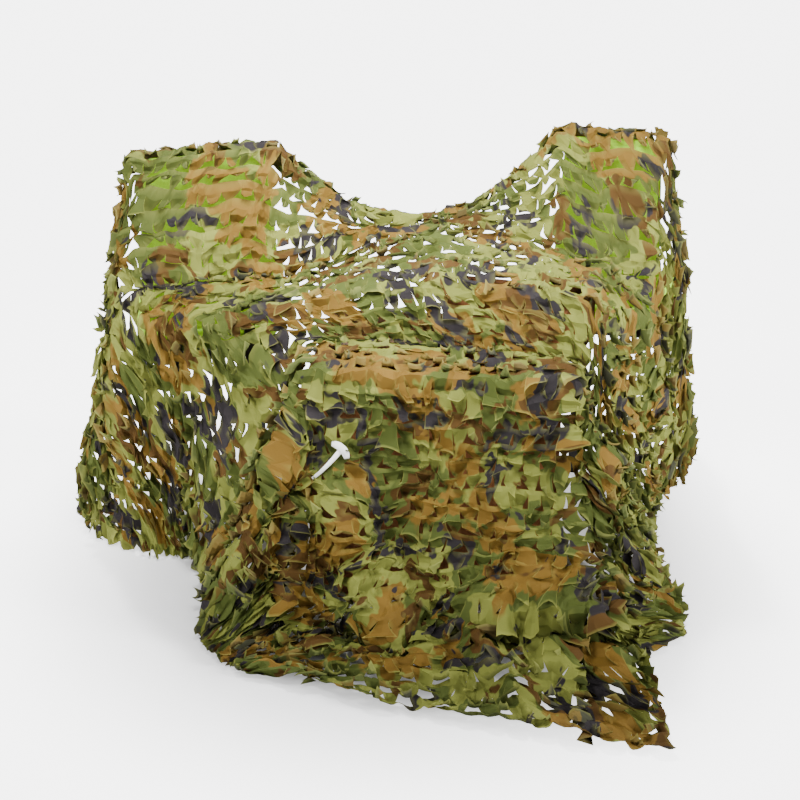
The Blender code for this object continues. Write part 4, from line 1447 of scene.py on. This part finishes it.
def mottle():
    """A soft, cloudy change of tone with a fine speckle on it."""
    made, start, end = group(
        "mottle",
        [("Vector", "NodeSocketVector", None), ("Cloud", "NodeSocketFloat", 8.0),
         ("Speckle", "NodeSocketFloat", 400.0), ("Share", "NodeSocketFloat", 0.4)],
        [("Tone", "NodeSocketFloat")])
    cloud = add(made, "ShaderNodeTexNoise", Detail=3.0)
    speck = add(made, "ShaderNodeTexNoise", Detail=2.0)
    for node, size in ((cloud, "Cloud"), (speck, "Speckle")):
        made.links.new(start.outputs["Vector"], node.inputs["Vector"])
        made.links.new(start.outputs[size], node.inputs["Scale"])
    node = add(made, "ShaderNodeMix")
    made.links.new(start.outputs["Share"], node.inputs[0])
    made.links.new(cloud.outputs["Fac"], node.inputs[2])
    made.links.new(speck.outputs["Fac"], node.inputs[3])
    made.links.new(node.outputs[0], end.inputs["Tone"])
    return made


def knit_holes():
    """A warp-knitted mesh: round holes in staggered rows, as a mask that is one in a hole."""
    made, start, end = group(
        "knit_holes",
        [("Vector", "NodeSocketVector", None), ("Holes", "NodeSocketFloat", 300.0),
         ("Width", "NodeSocketFloat", 0.36)],
        [("Mask", "NodeSocketFloat")])
    cells = add(made, "ShaderNodeTexVoronoi", Randomness=0.18)
    cells.voronoi_dimensions = "2D"
    made.links.new(start.outputs["Vector"], cells.inputs["Vector"])
    made.links.new(start.outputs["Holes"], cells.inputs["Scale"])
    inside = sums(made, "SUBTRACT", start.outputs["Width"], cells.outputs["Distance"])
    soft = add(made, "ShaderNodeMapRange")
    soft.inputs["From Min"].default_value = -0.06
    soft.inputs["From Max"].default_value = 0.06
    made.links.new(inside, soft.inputs["Value"])
    made.links.new(soft.outputs["Result"], end.inputs["Mask"])
    return made


GROUPS = {"blotch": printed_blotch(), "weave": plain_weave(), "mottle": mottle(), "knit": knit_holes()}


def use(tree, name, vector, **inputs):
    """The output of one of the groups, laid over the vector."""
    node = tree.nodes.new("ShaderNodeGroup")
    node.node_tree = GROUPS[name]
    tree.links.new(vector, node.inputs["Vector"])
    for label, value in inputs.items():
        node.inputs[label].default_value = value
    return node.outputs[0]


def bump(tree, shader, height, distance, strength):
    """Raises the shader's surface by a height."""
    node = add(tree, "ShaderNodeBump", Distance=distance, Strength=strength)
    tree.links.new(height, node.inputs["Height"])
    tree.links.new(node.outputs["Normal"], shader.inputs["Normal"])


# Colours of the print, the chairs, the cartons, the tie and the floor, as linear light.
LIGHT_GREEN = (0.117, 0.128, 0.026, 1.0)
LEAF_GREEN = (0.045, 0.057, 0.012, 1.0)
OCHRE = (0.108, 0.062, 0.0112, 1.0)
RUST = (0.050, 0.026, 0.0065, 1.0)
CHARCOAL = (0.0165, 0.0142, 0.0150, 1.0)
# pale cut edges: fraying, and a painted highlight where the curled edges catch the light
FRAYED_EDGE_AND_HIGHLIGHT = (0.26, 0.26, 0.060, 1.0)
UNDERSIDE = (0.080, 0.090, 0.035, 1.0)
LIME_LIGHT = (0.35, 0.62, 0.021, 1.0)
LIME_DEEP = (0.26, 0.49, 0.014, 1.0)
# painted shade: the mesh's holes are coloured darker, for the shade inside them
LIME_HOLE_SHADE = (0.12, 0.26, 0.008, 1.0)
MESH_PAINTED_GLOW = 0.34         # painted glow: the mesh gives off light of its own, standing in for light that comes through the open mesh from behind
TRIM_LIGHT = (0.15, 0.30, 0.008, 1.0)
TRIM_DEEP = (0.10, 0.21, 0.006, 1.0)
BLACK_LIGHT = (0.020, 0.020, 0.022, 1.0)
BLACK_DEEP = (0.010, 0.010, 0.011, 1.0)
STEEL = (0.45, 0.45, 0.47, 1.0)
RUBBER = (0.014, 0.014, 0.015, 1.0)
KRAFT_LIGHT = (0.36, 0.150, 0.055, 1.0)
KRAFT_DEEP = (0.28, 0.110, 0.038, 1.0)
KRAFT_FLECK = (0.17, 0.065, 0.022, 1.0)
TAPE_LIGHT = (0.40, 0.22, 0.090, 1.0)
TAPE_DEEP = (0.31, 0.16, 0.060, 1.0)
WHITE_LIGHT = (0.86, 0.86, 0.82, 1.0)
WHITE_DEEP = (0.72, 0.72, 0.68, 1.0)
FLOOR_LIGHT = (0.56, 0.56, 0.56, 1.0)
FLOOR_DEEP = (0.52, 0.52, 0.52, 1.0)
FLOOR_GLOW = 4.2         # light that the floor shows to the camera beside what falls on it
FLOOR_MIDDLE = (0.02, 0.20, 0.0)         # the middle of the net on the floor
FLOOR_FADE = (0.45, 1.05)        # and the distances from it between which that light comes in, so the floor nearer the net is painted darker, like shade

# The print, from the ground up: colour, blotches to the metre, share, raggedness, noise place.
BLOTCHES = (
    (LEAF_GREEN, 8.5, 0.50, 1.2, 1.7),
    (OCHRE, 7.5, 0.435, 1.2, 5.3),
    (RUST, 13.0, 0.40, 1.2, 9.1),
    (CHARCOAL, 11.0, 0.40, 1.6, 13.9),
)


def camouflage_cloth():
    """Printed polyester: woodland blotches laid out on the flat cloth, paler at cut edges from fraying and a
    painted highlight.
    """
    made, tree, shader = new_material("camouflage_cloth")
    spot = plan_place(tree, "flat_cloth")
    colour = LIGHT_GREEN
    for over, size, cover, ragged, place in BLOTCHES:
        blotch = use(tree, "blotch", spot, Size=size, Cover=cover, Ragged=ragged, Place=place)
        colour = blend(tree, blotch, colour, over)
    tone = use(tree, "mottle", spot, Cloud=14.0, Speckle=900.0, Share=0.25)
    lit = tree.nodes.new("ShaderNodeHueSaturation")
    tree.links.new(colour, lit.inputs["Color"])
    tree.links.new(spread_range(tree, tone, 0.82, 1.14), lit.inputs["Value"])
    # paler at the cut edges: fraying, and a painted highlight along them
    rim = tree.nodes.new("ShaderNodeAttribute")
    rim.attribute_name = "cut_edge"
    fray_and_highlight = sums(tree, "MULTIPLY", rim.outputs["Fac"], 0.30)
    edged = blend(tree, fray_and_highlight, lit.outputs["Color"], FRAYED_EDGE_AND_HIGHLIGHT)
    seen = tree.nodes.new("ShaderNodeNewGeometry")
    back = blend(tree, 0.25, edged, UNDERSIDE)
    tree.links.new(blend(tree, seen.outputs["Backfacing"], edged, back), shader.inputs["Base Color"])
    shader.inputs["Roughness"].default_value = 0.70
    shader.inputs["Specular IOR Level"].default_value = 0.06
    bump(tree, shader, use(tree, "weave", spot, Threads=5200.0), 0.0002, 0.5)
    return made


def spread_range(tree, value, low, high):
    """A tone of 0.3 to 0.7 spread to run from low to high."""
    node = add(tree, "ShaderNodeMapRange")
    node.inputs["From Min"].default_value = 0.3
    node.inputs["From Max"].default_value = 0.7
    node.inputs["To Min"].default_value = low
    node.inputs["To Max"].default_value = high
    tree.links.new(value, node.inputs["Value"])
    return node.outputs["Result"]


def object_place(tree):
    """Places in the piece's own axes."""
    return tree.nodes.new("ShaderNodeTexCoord").outputs["Object"]


def plan_place(tree, uv_map):
    """Places on a flat plan of the piece."""
    where = tree.nodes.new("ShaderNodeUVMap")
    where.uv_map = uv_map
    return where.outputs["UV"]


def two_tone(tree, shader, tone, light, deep):
    """The shader's colour: light to deep as the tone rises."""
    colour = blend(tree, spread_range(tree, tone, 0.0, 1.0), light, deep)
    tree.links.new(colour, shader.inputs["Base Color"])


def knitted_mesh(name, light, deep, hole):
    """Stretch mesh cloth: small holes with painted shade in them, a little lighter where it is rubbed, and a
    painted glow of its own that stands in for light through the mesh from behind.
    """
    made, tree, shader = new_material(name)
    plan = plan_place(tree, "plan")
    mask = use(tree, "knit", plan, Holes=330.0, Width=0.30)
    tone = use(tree, "mottle", plan, Cloud=9.0, Speckle=700.0, Share=0.35)
    cloth = blend(tree, spread_range(tree, tone, 0.0, 1.0), light, deep)
    # the holes take the darker colour: painted shade in them
    tree.links.new(blend(tree, mask, cloth, hole), shader.inputs["Base Color"])
    shader.inputs["Roughness"].default_value = 0.72
    shader.inputs["Specular IOR Level"].default_value = 0.25
    bump(tree, shader, sums(tree, "SUBTRACT", 1.0, mask), 0.0006, 0.8)
    # painted glow: the mesh gives off light of its own, for light that comes through it from behind
    shader.inputs["Emission Color"].default_value = light
    shader.inputs["Emission Strength"].default_value = MESH_PAINTED_GLOW
    return made


def woven_tape(name, light, deep, threads, roughness):
    """Narrow woven tape: fine threads and a faint mottle."""
    made, tree, shader = new_material(name)
    spot = object_place(tree)
    tone = use(tree, "mottle", spot, Cloud=40.0, Speckle=900.0, Share=0.4)
    two_tone(tree, shader, tone, light, deep)
    shader.inputs["Roughness"].default_value = roughness
    shader.inputs["Specular IOR Level"].default_value = 0.25
    bump(tree, shader, use(tree, "weave", spot, Threads=threads), 0.0003, 0.6)
    return made


def powder_paint(name, light, deep):
    """Satin powder paint on steel tube: a fine orange peel, and duller where it is handled."""
    made, tree, shader = new_material(name)
    spot = object_place(tree)
    tone = use(tree, "mottle", spot, Cloud=6.0, Speckle=500.0, Share=0.3)
    two_tone(tree, shader, tone, light, deep)
    tree.links.new(spread_range(tree, tone, 0.36, 0.52), shader.inputs["Roughness"])
    peel = use(tree, "mottle", spot, Cloud=900.0, Speckle=1800.0, Share=0.4)
    bump(tree, shader, peel, 0.0002, 0.35)
    return made


def hard_finish(name, colour, roughness, metallic):
    """A small moulded or turned part, faintly scuffed."""
    made, tree, shader = new_material(name)
    spot = object_place(tree)
    tone = use(tree, "mottle", spot, Cloud=60.0, Speckle=1200.0, Share=0.5)
    dark = tuple(0.7 * c for c in colour[:3]) + (1.0,)
    two_tone(tree, shader, tone, colour, dark)
    tree.links.new(spread_range(tree, tone, roughness - 0.08, roughness + 0.12), shader.inputs["Roughness"])
    shader.inputs["Metallic"].default_value = metallic
    return made


def kraft_board():
    """Brown board: fibres, cloudy tone, and the flutes just telling through the liner."""
    made, tree, shader = new_material("kraft_board")
    spot = object_place(tree)
    tone = use(tree, "mottle", spot, Cloud=7.0, Speckle=260.0, Share=0.35)
    fibre = add(tree, "ShaderNodeTexNoise", Scale=90.0, Detail=3.0)
    stretched = add(tree, "ShaderNodeVectorMath")
    stretched.operation = "MULTIPLY"
    stretched.inputs[1].default_value = (6.0, 6.0, 0.8)
    tree.links.new(spot, stretched.inputs[0])
    tree.links.new(stretched.outputs[0], fibre.inputs["Vector"])
    board = blend(tree, spread_range(tree, tone, 0.0, 1.0), KRAFT_LIGHT, KRAFT_DEEP)
    flecked = blend(tree, spread_range(tree, fibre.outputs["Fac"], 0.0, 0.45), board, KRAFT_FLECK)
    tree.links.new(flecked, shader.inputs["Base Color"])
    shader.inputs["Roughness"].default_value = 0.86
    shader.inputs["Specular IOR Level"].default_value = 0.2
    flutes = add(tree, "ShaderNodeTexWave", Scale=22.0, Distortion=0.4)
    tree.links.new(plan_place(tree, "plan"), flutes.inputs["Vector"])
    height = sums(tree, "ADD", flutes.outputs["Fac"], sums(tree, "MULTIPLY", tone, 0.8))
    bump(tree, shader, height, 0.0004, 0.5)
    return made


def packing_tape():
    """Tan tape over the board: glossy, with faint lengthwise streaks."""
    made, tree, shader = new_material("packing_tape")
    spot = object_place(tree)
    tone = use(tree, "mottle", spot, Cloud=30.0, Speckle=600.0, Share=0.5)
    two_tone(tree, shader, tone, TAPE_LIGHT, TAPE_DEEP)
    tree.links.new(spread_range(tree, tone, 0.18, 0.34), shader.inputs["Roughness"])
    bump(tree, shader, tone, 0.0002, 0.3)
    return made


def plain_floor():
    """Pale floor, shown lighter than the light it throws back by a painted glow, but not beneath the net,
    where the glow fades into painted shade about the net.
    """
    made, tree, shader = new_material("pale_floor")
    spot = object_place(tree)
    centred = add(tree, "ShaderNodeVectorMath")
    centred.operation = "DISTANCE"
    centred.inputs[1].default_value = FLOOR_MIDDLE
    tree.links.new(spot, centred.inputs[0])
    away = add(tree, "ShaderNodeMapRange")
    away.interpolation_type = "SMOOTHSTEP"
    away.inputs["From Min"].default_value = FLOOR_FADE[0]
    away.inputs["From Max"].default_value = FLOOR_FADE[1]
    tree.links.new(centred.outputs["Value"], away.inputs["Value"])
    path = tree.nodes.new("ShaderNodeLightPath")
    # painted glow for the camera only, fading out towards the net into painted shade about it
    seen = sums(tree, "MULTIPLY", path.outputs["Is Camera Ray"], away.outputs["Result"])
    tone = use(tree, "mottle", spot, Cloud=1.5, Speckle=300.0, Share=0.3)
    tree.links.new(blend(tree, tone, FLOOR_LIGHT, FLOOR_DEEP), shader.inputs["Base Color"])
    shader.inputs["Roughness"].default_value = 0.8
    shader.inputs["Specular IOR Level"].default_value = 0.1
    shader.inputs["Emission Color"].default_value = (1.0, 1.0, 1.0, 1.0)
    tree.links.new(sums(tree, "MULTIPLY", seen, FLOOR_GLOW), shader.inputs["Emission Strength"])
    return made


# ---------------------------------------------------------------- the room
FLOOR_HALF = 12.0        # half the floor's width
WALL_GLOW = 5.5          # how bright the wall behind shows to the camera
WALL_LIGHT = 0.68        # how much light it gives

# Lamps: name, kind, place, aim, power, softness as degrees or metres across, and for an area
# lamp the degrees of its beam, which keeps the top light off the train and the side lights off
# the front.
LIGHTS = (
    ("key", "SUN", (-0.7, 2.6, 3.6), (0.0, 0.2, 0.45), 4.1, 5.0, None),
    ("left fill", "SUN", (-2.6, -0.9, 1.5), (0.0, 0.2, 0.45), 3.2, 20.0, None),
    ("right fill", "SUN", (2.6, -0.2, 1.6), (0.0, 0.2, 0.45), 5.6, 14.0, None),
    ("top light", "AREA", (-0.05, -0.35, 1.75), (0.0, 0.46, 0.74), 25.0, 0.8, 85.0),
    ("left side light", "AREA", (-1.75, -1.1, 0.9), (-0.66, 0.40, 0.40), 6.2, 0.8, 48.0),
    ("right side light", "AREA", (1.75, -1.1, 0.9), (0.68, 0.55, 0.42), 10.0, 0.8, 48.0),
)


CAMERA_RISE = math.radians(24.0)
CAMERA_AWAY = 3.12
CAMERA_ANGLE = math.radians(30.0)
CAMERA_TARGET = (0.0, 0.0, 0.43)
CAMERA_SHIFT = (10.0, 20.0)      # of 800 pixels, right and up
SENSOR = 36.0


def look(thing, place, along):
    """Puts a lamp or the camera in its place and turns it along a direction."""
    thing.location = place
    thing.rotation_mode = "QUATERNION"
    thing.rotation_quaternion = along.to_track_quat("-Z", "Y")


def build_room():
    """The floor, the wall behind as the world's colour, and the lamps."""
    mesh = bpy.data.meshes.new("floor")
    corners = [(-FLOOR_HALF, -FLOOR_HALF, 0), (FLOOR_HALF, -FLOOR_HALF, 0),
               (FLOOR_HALF, FLOOR_HALF, 0), (-FLOOR_HALF, FLOOR_HALF, 0)]
    mesh.from_pydata(corners, [], [(0, 1, 2, 3)])
    floor = new_object("floor", mesh)
    mesh.materials.append(plain_floor())
    world = bpy.data.worlds.new("studio")
    bpy.context.scene.world = world
    world.use_nodes = True
    tree = world.node_tree
    sky = tree.nodes["Background"]
    sky.inputs["Color"].default_value = (1.0, 1.0, 1.0, 1.0)
    path = tree.nodes.new("ShaderNodeLightPath")
    glow = sums(tree, "MULTIPLY", path.outputs["Is Camera Ray"], WALL_GLOW - WALL_LIGHT)
    tree.links.new(sums(tree, "ADD", glow, WALL_LIGHT), sky.inputs["Strength"])
    for name, kind, place, aim, power, soft, beam in LIGHTS:
        data = bpy.data.lights.new(name, kind)
        data.energy = power
        if kind == "SUN":
            data.angle = math.radians(soft)
        else:
            data.size = soft
            data.spread = math.radians(beam)
        light = new_object(name, data)
        light.visible_camera = False
        look(light, place, Vector(aim) - Vector(place))


def build_camera():
    """Looks down from in front; the shift puts the target a little off centre."""
    data = bpy.data.cameras.new("camera")
    data.sensor_width = SENSOR
    data.lens = data.sensor_width / 2 / math.tan(CAMERA_ANGLE / 2)
    data.shift_x = CAMERA_SHIFT[0] / 800.0
    data.shift_y = CAMERA_SHIFT[1] / 800.0
    camera = new_object("camera", data)
    away = Vector((0.0, -math.cos(CAMERA_RISE), math.sin(CAMERA_RISE)))
    look(camera, Vector(CAMERA_TARGET) + away * CAMERA_AWAY, -away)
    bpy.context.scene.camera = camera


camouflage = camouflage_cloth()
net = build_net(camouflage)
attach(net, "root")
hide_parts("net")

lime = knitted_mesh("lime_mesh", LIME_LIGHT, LIME_DEEP, LIME_HOLE_SHADE)
trim = woven_tape("lime_trim", TRIM_LIGHT, TRIM_DEEP, 4200.0, 0.7)
black = powder_paint("black_paint", BLACK_LIGHT, BLACK_DEEP)
steel = hard_finish("screw_steel", STEEL, 0.35, 1.0)
rubber = hard_finish("black_rubber", RUBBER, 0.7, 0.0)
for chair in CHAIRS:
    build_chair(chair, lime, trim, black, steel, rubber)
card = kraft_board()
tape = packing_tape()
for carton in CARTONS:
    build_carton(carton, card, tape)
build_tie(woven_tape("white_tape", WHITE_LIGHT, WHITE_DEEP, 3600.0, 0.5))

build_room()
build_camera()
